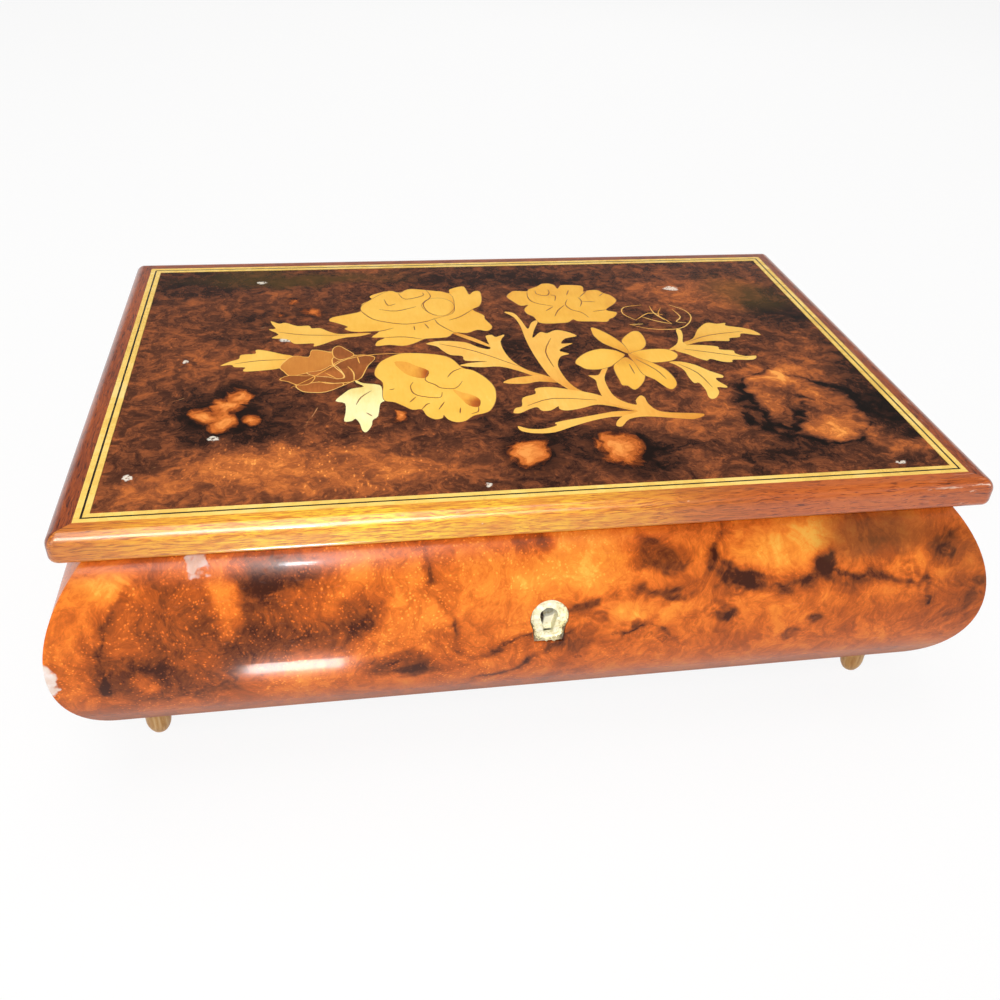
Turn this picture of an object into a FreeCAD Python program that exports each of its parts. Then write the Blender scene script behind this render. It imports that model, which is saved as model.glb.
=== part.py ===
import FreeCAD, Part
import math
import os
import re

import Sketcher
from FreeCAD import Placement, Rotation, Vector

doc = FreeCAD.newDocument("MusicBox")

# Driving sizes of the music box in millimetres, with angles in degrees and counts of teeth.
sizes = {
    # Swelling case: widest width, depth from the front swell to the back of the hinge knuckles
    "case_width": 242.0,
    "overall_depth": 165.2,
    "foot_clearance": 4.0,
    "lower_radius": 38.0,
    "upper_radius": 36.6,
    "rim_rise": 30.4,
    "neck_height": 3.0,
    "wall_inset": 19.0,
    "back_thickness": 8.0,
    "base_thickness": 10.0,
    "veneer": 0.7,
    # Feet
    "foot_radius": 3.4,
    "foot_flat_radius": 2.2,
    "foot_taper": 4.5,
    "foot_round": 7.0,
    "foot_side_inset": 17.5,
    "foot_front_inset": 21.8,
    "foot_back_inset": 16.0,
    "foot_socket": 2.6,
    # Lid with its lip and stringing
    "lid_side_inset": 6.0,
    "lid_front_inset": 3.8,
    "lid_thickness": 7.7,
    "lid_gap": 0.3,
    "lip_width": 5.6,
    "lip_top_round": 3.0,
    "lip_under_round": 2.0,
    "lid_corner_round": 2.5,
    "light_string": 1.4,
    "dark_string": 0.5,
    "inlay_unit": 1.0,
    "lid_lining": 1.5,
    "lid_lining_gap": 2.0,
    # Hinges
    "hinge_spacing": 140.0,
    "hinge_length": 20.0,
    "knuckle_count": 3,
    "hinge_setback": 2.2,
    "knuckle_radius": 1.6,
    "hinge_pin_radius": 0.8,
    "hinge_fit": 0.05,
    "knuckle_gap": 0.15,
    "leaf_width": 5.0,
    "leaf_thickness": 0.9,
    "screw_spacing": 11.0,
    "screw_radius": 0.7,
    "screw_head_radius": 1.4,
    "screw_length": 4.5,
    # Lock, keyhole and catch
    "keyhole_height": 48.8,
    "liner_head_radius": 5.0,
    "liner_skirt": 7.4,
    "liner_foot_width": 7.4,
    "liner_depth": 4.0,
    "keyhole_radius": 2.3,
    "keyhole_slot_width": 2.2,
    "keyhole_slot": 5.2,
    "lock_width": 24.0,
    "lock_thickness": 4.0,
    "lock_height": 30.0,
    "lock_setback": 1.0,
    "selvage_width": 30.0,
    "selvage_thickness": 1.2,
    "key_post_radius": 0.8,
    "key_post_length": 6.0,
    "bolt_length": 7.4,
    "bolt_height": 1.9,
    "bolt_thickness": 1.0,
    "bolt_travel": 4.5,
    "bolt_clearance": 0.15,
    "catch_length": 26.0,
    "catch_width": 4.6,
    "catch_thickness": 1.0,
    "loop_width": 2.4,
    "loop_thickness": 1.8,
    "loop_drop": 6.0,
    "loop_clearance": 0.4,
    # Inside of the case
    "movement_bay": 58.5,
    "divider_thickness": 5.0,
    "divider_drop": 3.5,
    "lining": 1.2,
    "lining_drop": 6.0,
    "ledge_width": 4.0,
    "ledge_height": 4.0,
    "cover_height": 50.0,
    "cover_thickness": 2.0,
    "cover_clearance": 0.3,
    "cover_notch_radius": 8.0,
    # Winding key in the well under the base
    "arbor_to_divider": 18.5,
    "arbor_from_bed": 19.1,
    "well_radius": 18.0,
    "well_depth": 7.5,
    "arbor_radius": 2.0,
    "arbor_end_radius": 1.5,
    "arbor_hole_radius": 3.2,
    "running_fit": 0.06,
    "key_hub_radius": 3.2,
    "key_top_gap": 0.8,
    "key_hub_height": 7.5,
    "key_blade": 1.6,
    "key_lobe_radius": 4.6,
    "key_lobe_reach": 8.0,
    "key_lobe_hole": 2.0,
    # Bedplate and its screws
    "bed_back_gap": 7.2,
    "bed_width": 48.0,
    "bed_length": 106.0,
    "bed_thickness": 2.5,
    "bed_divider_gap": 4.0,
    "bed_corner": 4.0,
    "mount_screw_radius": 1.5,
    "mount_head_radius": 3.0,
    "mount_head_height": 1.8,
    "mount_head_recess": 5.0,
    "mount_inset": 5.5,
    # Spring barrel with crown teeth on its rim
    "barrel_gap": 0.8,
    "barrel_height": 10.0,
    "barrel_wall": 1.6,
    "barrel_floor": 1.2,
    "cap_thickness": 1.2,
    "drive_module": 0.5,
    "crown_teeth": 48,
    "drive_teeth": 24,
    "drive_width": 1.8,
    "tooth_share": 0.4,
    "tooth_top": 0.9,
    "tooth_root": 1.2,
    "flank_angle": 20.0,
    "spring_thickness": 0.5,
    "spring_turns": 4,
    "spring_pitch": 1.8,
    "spring_side_gap": 0.6,
    # Cylinder, pins and comb
    "cylinder_radius": 6.5,
    "cylinder_wall": 0.9,
    "cylinder_margin": 1.5,
    "cylinder_arbor_radius": 1.0,
    "pin_height": 0.8,
    "pin_thickness": 0.3,
    "pins_per_tooth": 3,
    "comb_teeth": 36,
    "comb_pitch": 1.2,
    "comb_slot": 0.3,
    "comb_depth": 22.5,
    "comb_thickness": 1.2,
    "tip_gap": 0.25,
    "longest_tooth": 15.0,
    "shortest_tooth": 11.0,
    "comb_screw_radius": 1.3,
    "comb_head_radius": 2.6,
    "comb_head_height": 1.6,
    "comb_screws": 3,
    # Bearings and governor
    "shake": 0.4,
    "bearing_thickness": 1.7,
    "bearing_half_width": 4.5,
    "bearing_head_radius": 3.2,
    "train_module": 0.4,
    "train_teeth": 36,
    "governor_teeth": 12,
    "train_width": 1.6,
    "train_angle": 35.0,
    "worm_wheel_teeth": 24,
    "worm_wheel_gap": 1.6,
    "worm_pitch_radius": 1.6,
    "worm_turns": 3,
    "worm_share": 0.36,
    "worm_sink": 0.1,
    "governor_arbor_radius": 0.8,
    "fly_shaft_radius": 0.7,
    "frame_gap": 3.6,
    "frame_arm_width": 4.5,
    "frame_arm_thickness": 1.5,
    "fan_radius": 6.2,
    "fan_height": 6.0,
    "fan_gap": 1.3,
    "fan_blade": 0.5,
    "fan_hub_radius": 1.3,
    # Stop rod worked by the lid
    "stop_radius": 0.6,
    "stop_pad_radius": 1.0,
    "stop_pad_height": 3.0,
    "stop_gap": 0.25,
    "stop_lid_gap": 0.3,
    "stop_tail": 6.0,
}

# Places and heights worked out from the driving sizes.
derived = {
    "half_width": "case_width / 2",
    "front_y": "-overall_depth / 2",
    "hinge_y": "overall_depth / 2 - knuckle_radius",
    "back_y": "hinge_y - hinge_setback",
    "bottom_z": "foot_clearance",
    "bulge_z": "bottom_z + lower_radius",
    "rim_z": "bulge_z + rim_rise",
    "floor_z": "bottom_z + base_thickness",
    "lid_z": "rim_z + lid_gap",
    "top_z": "lid_z + lid_thickness",
    "hinge_z": "rim_z + lid_gap / 2",
    "neck_inset": "upper_radius - sqrt(upper_radius ^ 2 - (rim_rise - neck_height) ^ 2)",
    "inner_x": "half_width - wall_inset",
    "inner_front_y": "front_y + wall_inset",
    "inner_back_y": "back_y - veneer - back_thickness",
    "divider_x": "-inner_x + movement_bay",
    "tray_x": "divider_x + divider_thickness",
    "foot_top_z": "bulge_z - sqrt(lower_radius ^ 2 - (lower_radius - foot_side_inset) ^ 2) + foot_socket",
    "lid_width": "case_width - 2 * lid_side_inset",
    "lid_depth": "back_y - front_y - lid_front_inset",
    "lid_front_y": "back_y - lid_depth",
    "lid_middle_y": "back_y - lid_depth / 2",
    "face_z": "top_z - veneer",
    "dark_inset": "lip_width + light_string",
    "inner_inset": "dark_inset + dark_string",
    "panel_inset": "inner_inset + light_string",
    "lock_y": "inner_front_y - lock_setback - lock_thickness",
    "lock_middle_y": "lock_y + lock_thickness / 2",
    "bolt_z": "rim_z - loop_drop + (loop_drop - selvage_thickness) / 2 - bolt_height / 2",
    "arbor_x": "divider_x - arbor_to_divider",
    "bed_y": "inner_back_y - bed_back_gap - bed_length",
    "arbor_y": "bed_y + arbor_from_bed",
    "well_z": "bottom_z + well_depth",
    "key_top_z": "well_z - key_top_gap",
    "bed_x": "divider_x - bed_divider_gap - bed_width",
    "bed_top_z": "floor_z + bed_thickness",
    "barrel_z": "bed_top_z + barrel_gap",
    "crown_z": "barrel_z + barrel_height",
    "crown_radius": "crown_teeth * drive_module / 2",
    "barrel_inner": "crown_radius - barrel_wall / 2",
    "barrel_outer": "crown_radius + barrel_wall / 2",
    "drive_radius": "drive_teeth * drive_module / 2",
    "cylinder_z": "crown_z + tooth_root * drive_module + drive_radius",
    "drive_y": "arbor_y + crown_radius - drive_width / 2",
    "front_bearing_y": "drive_y + drive_width + shake",
    "cylinder_y": "front_bearing_y + bearing_thickness + shake",
    "comb_length": "comb_teeth * comb_pitch",
    "cylinder_length": "comb_length + 2 * cylinder_margin",
    "back_bearing_y": "cylinder_y + cylinder_length + shake",
    "train_y": "back_bearing_y + bearing_thickness + shake",
    "train_distance": "(train_teeth + governor_teeth) * train_module / 2",
    "governor_x": "arbor_x - train_distance * cos(train_angle)",
    "governor_z": "cylinder_z - train_distance * sin(train_angle)",
    "worm_wheel_y": "train_y + train_width + worm_wheel_gap",
    "fly_y": "worm_wheel_y + train_width / 2",
    "fly_x": "governor_x - worm_wheel_teeth * train_module / 2 - worm_pitch_radius",
    "frame_y": "worm_wheel_y + train_width + frame_gap",
    "frame_arm_z": "governor_z + worm_wheel_teeth * train_module / 2",
    "fan_z": "frame_arm_z + frame_arm_thickness + fan_gap",
    "comb_tip_x": "arbor_x - cylinder_radius - pin_height - tip_gap",
    "comb_x": "comb_tip_x - comb_depth",
    "comb_y": "cylinder_y + cylinder_margin",
    "comb_z": "cylinder_z - comb_thickness / 2",
    "comb_base_width": "comb_depth - longest_tooth - 1",
    "stop_y": "fly_y + fan_radius + stop_gap + stop_pad_radius",
    "stop_top_z": "lid_z - lid_lining - stop_lid_gap",
    "stop_bottom_z": "frame_arm_z - stop_tail",
}

sheet = doc.addObject("Spreadsheet::Sheet", "Sizes")
places = doc.addObject("Spreadsheet::Sheet", "Places")
scratch = doc.addObject("Spreadsheet::Sheet", "Scratch")
known_word = re.compile(r"[a-z][a-z0-9_]*")


def formula(text):
    def linked(match):
        name = match.group()
        if name in sizes:
            return "Sizes." + name
        if name in derived:
            return "Places." + name
        return name

    return known_word.sub(linked, str(text))


def worked_out(text):
    scratch.set("A1", "=" + formula(text))
    scratch.recompute()
    return float(scratch.get("A1"))


def fill_sheet(target, entries, prefix):
    for row, (name, entry) in enumerate(entries.items(), start=1):
        target.set(f"A{row}", name)
        target.set(f"B{row}", prefix + (formula(entry) if prefix else str(entry)))
        target.setAlias(f"B{row}", name)
    target.recompute()


fill_sheet(sheet, sizes, "")
fill_sheet(places, derived, "=")


def bind(item, **formulas):
    for name, text in formulas.items():
        item.setExpression(name, formula(text))


def put(item, x, y, z):
    for letter, text in zip("xyz", (x, y, z)):
        item.setExpression("Placement.Base." + letter, formula(text))
    return item


# Turns that lay a part's own Z axis along X, Y or Z.
along = {
    "x": Rotation(Vector(0, 1, 0), 90),
    "y": Rotation(Vector(1, 0, 0), -90),
    "z": Rotation(),
}


def block(label, length, width, height, x, y, z):
    item = doc.addObject("Part::Box", label)
    bind(item, Length=length, Width=width, Height=height)
    return put(item, x, y, z)


def rod(label, radius, length, x, y, z, axis="z"):
    item = doc.addObject("Part::Cylinder", label)
    item.Placement = Placement(Vector(), along[axis])
    bind(item, Radius=radius, Height=length)
    return put(item, x, y, z)


def fuse(label, *shapes):
    item = doc.addObject("Part::MultiFuse", label)
    item.Shapes = list(shapes)
    item.Refine = True
    return item


def common(label, *shapes):
    item = doc.addObject("Part::MultiCommon", label)
    item.Shapes = list(shapes)
    return item


def cut(label, base, *tools):
    item = doc.addObject("Part::Cut", label)
    item.Base = base
    item.Tool = tools[0] if len(tools) == 1 else group(label + "_tools", *tools)
    return item


def group(label, *shapes):
    item = doc.addObject("Part::Compound", label)
    item.Links = list(shapes)
    return item


def solid(label, shape):
    item = doc.addObject("Part::Feature", label)
    item.Shape = shape
    return item


def origin_part(body, role):
    return next(item for item in body.Origin.OriginFeatures if item.Role == role)


def pin_point(sketch, index, end, name, text, kind, axis):
    if text == "0":
        sketch.addConstraint(Sketcher.Constraint("PointOnObject", index, end, axis))
        return
    number = sketch.addConstraint(Sketcher.Constraint(kind, -1, 1, index, end, worked_out(text)))
    sketch.renameConstraint(number, name)
    sketch.setExpression("Constraints." + name, formula(text))


def draw(sketch, path):
    # A corner is (u, v) before a straight edge, or (u, v, radius) before an arc that turns left.
    spots = [Vector(worked_out(corner[0]), worked_out(corner[1]), 0) for corner in path]
    edges = []
    first = sketch.GeometryCount
    for number, corner in enumerate(path):
        start = spots[number]
        stop = spots[(number + 1) % len(path)]
        if len(corner) == 2:
            index = sketch.addGeometry(Part.LineSegment(start, stop))
        else:
            radius = worked_out(corner[2])
            chord = stop - start
            rise = math.sqrt(max(radius ** 2 - chord.Length ** 2 / 4, 0))
            centre = (start + stop) / 2 + Vector(-chord.y, chord.x, 0).normalize() * rise
            angles = [math.atan2(spot.y - centre.y, spot.x - centre.x) for spot in (start, stop)]
            circle = Part.Circle(centre, Vector(0, 0, 1), radius)
            index = sketch.addGeometry(Part.ArcOfCircle(circle, angles[0], angles[1]))
        edges.append(index)
    for number, index in enumerate(edges):
        following = edges[(number + 1) % len(edges)]
        sketch.addConstraint(Sketcher.Constraint("Coincident", index, 2, following, 1))
    for number, (index, corner) in enumerate(zip(edges, path)):
        tag = f"{first + number}"
        pin_point(sketch, index, 1, "across" + tag, corner[0], "DistanceX", -2)
        pin_point(sketch, index, 1, "along" + tag, corner[1], "DistanceY", -1)
        if len(corner) == 3:
            number = sketch.addConstraint(Sketcher.Constraint("Radius", index, worked_out(corner[2])))
            sketch.renameConstraint(number, "round" + tag)
            sketch.setExpression("Constraints.round" + tag, formula(corner[2]))


def draw_circle(sketch, u, v, radius):
    spot = Vector(worked_out(u), worked_out(v), 0)
    index = sketch.addGeometry(Part.Circle(spot, Vector(0, 0, 1), worked_out(radius)))
    tag = f"{index}"
    pin_point(sketch, index, 3, "across" + tag, u, "DistanceX", -2)
    pin_point(sketch, index, 3, "along" + tag, v, "DistanceY", -1)
    number = sketch.addConstraint(Sketcher.Constraint("Radius", index, worked_out(radius)))
    sketch.renameConstraint(number, "round" + tag)
    sketch.setExpression("Constraints.round" + tag, formula(radius))


def sketch_on(body, role, path, holes=(), offset="0"):
    sketch = body.newObject("Sketcher::SketchObject", body.Name + "_sketch")
    sketch.AttachmentSupport = (origin_part(body, role), [""])
    sketch.MapMode = "FlatFace"
    sketch.setExpression("AttachmentOffset.Base.z", formula(offset))
    if path:
        draw(sketch, path)
    for hole in holes:
        draw_circle(sketch, *hole)
    return sketch


def padded(label, role, path, length, holes=(), side="One side", reverse=False):
    body = doc.addObject("PartDesign::Body", label)
    sketch = sketch_on(body, role, path, holes)
    pad = body.newObject("PartDesign::Pad", label + "_pad")
    pad.Profile = sketch
    pad.SideType = side
    pad.Reversed = reverse
    bind(pad, Length=length)
    return body


def pocketed(body, role, path, length, offset="0"):
    pocket_sketch = sketch_on(body, role, path, offset=offset)
    pocket = body.newObject("PartDesign::Pocket", body.Name + "_pocket")
    pocket.Profile = pocket_sketch
    pocket.Reversed = True
    bind(pocket, Length=length)
    return pocket


def turned(label, path):
    body = doc.addObject("PartDesign::Body", label)
    sketch = sketch_on(body, "XZ_Plane", path)
    turn = body.newObject("PartDesign::Revolution", label + "_turn")
    turn.Profile = sketch
    turn.ReferenceAxis = (sketch, ["V_Axis"])
    turn.Angle = 360
    return body


def repeated(body, feature, count):
    pattern = body.newObject("PartDesign::PolarPattern", body.Name + "_ring")
    pattern.Originals = [feature]
    pattern.Axis = (origin_part(body, "Z_Axis"), [""])
    pattern.Angle = 360
    bind(pattern, Occurrences=count)
    body.Tip = pattern


def value(name):
    return float((sheet if name in sizes else places).get(name))


def rounded_rectangle(x0, y0, x1, y1, radius):
    return [
        (f"{x0} + {radius}", y0),
        (f"{x1} - {radius}", y0, radius),
        (x1, f"{y0} + {radius}"),
        (x1, f"{y1} - {radius}", radius),
        (f"{x1} - {radius}", y1),
        (f"{x0} + {radius}", y1, radius),
        (x0, f"{y1} - {radius}"),
        (x0, f"{y0} + {radius}", radius),
    ]


# The swelling outside: a cross section and a long section crossed, drawn one skin further in for the core.
def swelling(label, skin):
    neck_z = f"bulge_z + sqrt((upper_radius - {skin}) ^ 2 - (upper_radius - neck_inset - {skin}) ^ 2)"
    low = f"lower_radius - {skin}"
    high = f"upper_radius - {skin}"
    bottom = f"bottom_z + {skin}"
    flat_x = "half_width - lower_radius"
    swell_x = f"half_width - {skin}"
    neck_x = f"half_width - neck_inset - {skin}"
    cross = padded(
        label + "_cross",
        "XZ_Plane",
        [
            (f"-({flat_x})", bottom),
            (flat_x, bottom, low),
            (swell_x, "bulge_z", high),
            (neck_x, neck_z),
            (neck_x, "rim_z"),
            (f"-({neck_x})", "rim_z"),
            (f"-({neck_x})", neck_z, high),
            (f"-({swell_x})", "bulge_z", low),
        ],
        "2 * overall_depth",
        side="Symmetric",
    )
    neck_y = f"front_y + neck_inset + {skin}"
    lengthways = padded(
        label + "_long",
        "YZ_Plane",
        [
            ("front_y + lower_radius", bottom),
            (f"back_y - {skin}", bottom),
            (f"back_y - {skin}", "rim_z"),
            (neck_y, "rim_z"),
            (neck_y, neck_z, high),
            (f"front_y + {skin}", "bulge_z", low),
        ],
        "2 * case_width",
        side="Symmetric",
    )
    return common(label, cross, lengthways)


case_outside = swelling("case_outside", "0")
case_core = swelling("case_core", "veneer")
case_skin = cut("case_skin", case_outside, case_core)

# Mitred zones of the case, seen from above.
over = "lip_width"
front_zone = padded(
    "front_zone",
    "XY_Plane",
    [
        (f"-half_width - {over}", f"front_y - {over}"),
        (f"half_width + {over}", f"front_y - {over}"),
        ("half_width - lower_radius", "front_y + lower_radius"),
        ("-half_width + lower_radius", "front_y + lower_radius"),
    ],
    "top_z",
)
left_zone = padded(
    "left_zone",
    "XY_Plane",
    [
        (f"-half_width - {over}", f"front_y - {over}"),
        ("-half_width + lower_radius", "front_y + lower_radius"),
        ("-half_width + lower_radius", "back_y - veneer"),
        (f"-half_width - {over}", "back_y - veneer"),
    ],
    "top_z",
)
right_zone = padded(
    "right_zone",
    "XY_Plane",
    [
        ("half_width - lower_radius", "front_y + lower_radius"),
        (f"half_width + {over}", f"front_y - {over}"),
        (f"half_width + {over}", "back_y - veneer"),
        ("half_width - lower_radius", "back_y - veneer"),
    ],
    "top_z",
)
upper_zone = block(
    "upper_zone", "case_width", "overall_depth", "rim_z - floor_z", "-half_width", "front_y", "floor_z"
)
base_zone = block(
    "base_zone", "case_width", "overall_depth", "base_thickness", "-half_width", "front_y", "bottom_z"
)
back_zone = block(
    "back_zone", "case_width", "back_thickness", "rim_z - floor_z", "-half_width", "inner_back_y", "floor_z"
)
back_skin_zone = block(
    "back_skin_zone", "case_width", "veneer", "rim_z", "-half_width", "back_y - veneer", "0"
)
felt_zone = block(
    "felt_zone",
    "2 * (half_width - lower_radius)",
    "back_y - veneer - front_y - lower_radius",
    "veneer",
    "-half_width + lower_radius",
    "front_y + lower_radius",
    "bottom_z",
)
cavity = block(
    "cavity",
    "2 * inner_x",
    "inner_back_y - inner_front_y",
    "top_z - floor_z",
    "-inner_x",
    "inner_front_y",
    "floor_z",
)

# Four peg feet, glued into sockets in the swelling underside.
def foot(label, x, y):
    body = turned(
        label,
        [
            ("0", "0"),
            ("foot_flat_radius", "0", "foot_round"),
            ("foot_radius", "foot_taper"),
            ("foot_radius", "foot_top_z"),
            ("0", "foot_top_z"),
        ],
    )
    return put(body, x, y, "0")


foot_x = "half_width - foot_side_inset"
feet = group(
    "feet",
    foot("foot_front_left", f"-({foot_x})", "front_y + foot_front_inset"),
    foot("foot_front_right", foot_x, "front_y + foot_front_inset"),
    foot("foot_back_left", f"-({foot_x})", "back_y - foot_back_inset"),
    foot("foot_back_right", foot_x, "back_y - foot_back_inset"),
)


# Butt hinges: leaves let into the back wall and the lid, with interleaved knuckles on one pin.
def countersunk_screw(spot, direction):
    shank = value("screw_radius")
    head = value("screw_head_radius")
    profile = [(0, 0), (head, 0), (shank, head - shank), (shank, value("screw_length"))]
    profile.append((0, value("screw_length")))
    spots = [spot + Vector(across, 0, 0) + direction * deep for across, deep in profile]
    return Part.Face(Part.makePolygon(spots + spots[:1])).revolve(spot, Vector(0, 0, 1), 360)


def screw_set(label, z, direction):
    spots = []
    for side in (-1, 1):
        for end in (-1, 1):
            x = side * value("hinge_spacing") / 2 + end * value("screw_spacing") / 2
            spots.append(Vector(x, value("back_y") - value("leaf_width") / 2, z))
    return solid(label, Part.makeCompound([countersunk_screw(spot, direction) for spot in spots]))


hinge_screws_case = screw_set("hinge_screws_case", value("rim_z"), Vector(0, 0, -1))
hinge_screws_lid = screw_set("hinge_screws_lid", value("lid_z"), Vector(0, 0, 1))
hinge_sides = {"left": "-hinge_spacing / 2", "right": "hinge_spacing / 2"}


def leaf_block(label, middle, z):
    return block(
        label,
        "hinge_length",
        "leaf_width",
        "leaf_thickness",
        f"{middle} - hinge_length / 2",
        "back_y - leaf_width",
        z,
    )


def hinge_half(label, middle, z, first, screws):
    pieces = [leaf_block(label + "_leaf", middle, z)]
    for number in range(first, sizes["knuckle_count"], 2):
        start = f"{middle} - hinge_length / 2 + {number} * hinge_length / knuckle_count + knuckle_gap / 2"
        length = "hinge_length / knuckle_count - knuckle_gap"
        tag = f"{label}_{number}"
        pieces.append(rod(tag + "_knuckle", "knuckle_radius", length, start, "hinge_y", "hinge_z", "x"))
        pieces.append(block(tag + "_tab", length, "hinge_setback", "leaf_thickness", start, "back_y", z))
    bore = rod(
        label + "_bore",
        "hinge_pin_radius + hinge_fit",
        "hinge_length",
        f"{middle} - hinge_length / 2",
        "hinge_y",
        "hinge_z",
        "x",
    )
    return cut(label, fuse(label + "_blank", *pieces), bore, screws)


case_leaf_z = "rim_z - leaf_thickness"
hinge_leaves_case = group(
    "hinge_leaves_case",
    *[
        hinge_half("case_leaf_" + side, middle, case_leaf_z, 0, hinge_screws_case)
        for side, middle in hinge_sides.items()
    ],
)
hinge_leaves_lid = group(
    "hinge_leaves_lid",
    *[
        hinge_half("lid_leaf_" + side, middle, "lid_z", 1, hinge_screws_lid)
        for side, middle in hinge_sides.items()
    ],
)
hinge_pins = group(
    "hinge_pins",
    *[
        rod(
            "hinge_pin_" + side,
            "hinge_pin_radius",
            "hinge_length",
            f"{middle} - hinge_length / 2",
            "hinge_y",
            "hinge_z",
            "x",
        )
        for side, middle in hinge_sides.items()
    ],
)
case_leaf_beds = [
    leaf_block("case_leaf_bed_" + side, middle, case_leaf_z) for side, middle in hinge_sides.items()
]
lid_leaf_beds = [
    leaf_block("lid_leaf_bed_" + side, middle, "lid_z") for side, middle in hinge_sides.items()
]


# Keyhole liner: a round head on a tapering skirt, set flush with the swelling front.
def keyhole_prism(label, head, skirt, foot_width, length):
    body = padded(
        label,
        "XZ_Plane",
        [
            (f"-({foot_width}) / 2", f"-({skirt})"),
            (f"({foot_width}) / 2", f"-({skirt})"),
            (f"{head} * cos(30)", f"-{head} * sin(30)", head),
            ("0", head, head),
            (f"-{head} * cos(30)", f"-{head} * sin(30)"),
        ],
        length,
        reverse=True,
    )
    return put(body, "0", "front_y", "keyhole_height")


liner_blank = keyhole_prism(
    "liner_blank", "liner_head_radius", "liner_skirt", "liner_foot_width", "liner_depth"
)
liner_hole = keyhole_prism(
    "liner_hole", "keyhole_radius", "keyhole_slot", "keyhole_slot_width", "liner_depth"
)
keyhole_liner = common("keyhole_liner", cut("liner_ring", liner_blank, liner_hole), case_outside)
key_tunnel = rod(
    "key_tunnel", "keyhole_radius", "lock_y - front_y", "0", "front_y", "keyhole_height", "y"
)

# Mortise lock in the front wall: case with its top plate, sliding bolt and key post.
lock_block = block(
    "lock_block",
    "lock_width",
    "lock_thickness",
    "lock_height",
    "-lock_width / 2",
    "lock_y",
    "rim_z - lock_height",
)
selvage = block(
    "selvage",
    "selvage_width",
    "catch_width",
    "selvage_thickness",
    "-selvage_width / 2",
    "lock_middle_y - catch_width / 2",
    "rim_z - selvage_thickness",
)
loop_slot = block(
    "loop_slot",
    "loop_thickness + 2 * loop_clearance",
    "loop_width + 2 * loop_clearance",
    "loop_drop + loop_clearance",
    "-loop_thickness / 2 - loop_clearance",
    "lock_middle_y - loop_width / 2 - loop_clearance",
    "rim_z - loop_drop - loop_clearance",
)
bolt_x = "-loop_thickness / 2 - loop_clearance - bolt_clearance - bolt_length"
bolt_channel = block(
    "bolt_channel",
    "bolt_length + bolt_travel + 2 * bolt_clearance",
    "bolt_thickness + 2 * bolt_clearance",
    "bolt_height + 2 * bolt_clearance",
    f"{bolt_x} - bolt_clearance",
    "lock_middle_y - bolt_thickness / 2 - bolt_clearance",
    "bolt_z - bolt_clearance",
)
lock_eye = rod(
    "lock_eye", "keyhole_radius", "lock_thickness / 2", "0", "lock_y", "keyhole_height", "y"
)
key_post = rod(
    "key_post",
    "key_post_radius",
    "key_post_length",
    "0",
    "lock_middle_y - key_post_length",
    "keyhole_height",
    "y",
)
lock_case = fuse(
    "lock_case",
    cut("lock_shell", fuse("lock_blank", lock_block, selvage), loop_slot, bolt_channel, lock_eye),
    key_post,
)
lock_bolt = block(
    "lock_bolt",
    "bolt_length",
    "bolt_thickness",
    "bolt_height",
    bolt_x,
    "lock_middle_y - bolt_thickness / 2",
    "bolt_z",
)
catch_plate = block(
    "catch_plate",
    "catch_length",
    "catch_width",
    "catch_thickness",
    "-catch_length / 2",
    "lock_middle_y - catch_width / 2",
    "lid_z",
)
catch_loop = block(
    "catch_loop",
    "loop_thickness",
    "loop_width",
    "loop_drop + lid_gap",
    "-loop_thickness / 2",
    "lock_middle_y - loop_width / 2",
    "rim_z - loop_drop",
)
catch_window = block(
    "catch_window",
    "2 * loop_thickness",
    "bolt_thickness + 2 * bolt_clearance",
    "bolt_height + 2 * bolt_clearance",
    "-loop_thickness",
    "lock_middle_y - bolt_thickness / 2 - bolt_clearance",
    "bolt_z - bolt_clearance",
)
lid_catch = cut("lid_catch", fuse("catch_blank", catch_plate, catch_loop), catch_window)

# Walls, base and veneer of the case.
front_wall = cut(
    "front_wall",
    common("front_wall_stock", case_core, front_zone, upper_zone),
    cavity,
    lock_block,
    selvage,
    key_tunnel,
    liner_blank,
)
left_wall = cut(
    "left_wall", common("left_wall_stock", case_core, left_zone, upper_zone), cavity, back_zone
)
right_wall = cut(
    "right_wall", common("right_wall_stock", case_core, right_zone, upper_zone), cavity, back_zone
)
back_wall = cut(
    "back_wall", common("back_wall_stock", case_core, back_zone), *case_leaf_beds, hinge_screws_case
)
front_veneer = cut(
    "front_veneer", common("front_veneer_sheet", case_skin, front_zone), feet, liner_blank
)
right_veneer = cut("right_veneer", common("right_veneer_sheet", case_skin, right_zone), feet)
back_veneer = cut(
    "back_veneer", common("back_veneer_sheet", case_skin, back_skin_zone), *case_leaf_beds
)

# Bedplate screws come up through the base, with their heads sunk in the underside.
bed_right = "bed_x + bed_width"
bed_back = "bed_y + bed_length"
mount_spots = [
    ("bed_x + mount_inset", "bed_y + mount_inset"),
    ("bed_x + mount_inset", f"{bed_back} - mount_inset"),
    (f"{bed_right} - mount_inset", f"{bed_back} - mount_inset"),
]
mount_screws = []
mount_recesses = []
for number, (x, y) in enumerate(mount_spots):
    head_z = "bottom_z + mount_head_recess - mount_head_height"
    head = rod(f"mount_head_{number}", "mount_head_radius", "mount_head_height", x, y, head_z)
    shank_z = "bottom_z + mount_head_recess"
    shank = rod(f"mount_shank_{number}", "mount_screw_radius", f"bed_top_z - ({shank_z})", x, y, shank_z)
    mount_screws.append(fuse(f"mount_screw_{number}", head, shank))
    recess = rod(f"mount_recess_{number}", "mount_head_radius", shank_z, x, y, "0")
    mount_recesses.append(fuse(f"mount_bore_{number}", recess, shank))
bedplate_screws = group("bedplate_screws", *mount_screws)
key_well = rod("key_well", "well_radius", "well_z", "arbor_x", "arbor_y", "0")
arbor_hole = rod("arbor_hole", "arbor_hole_radius", "floor_z", "arbor_x", "arbor_y", "0")
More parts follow.
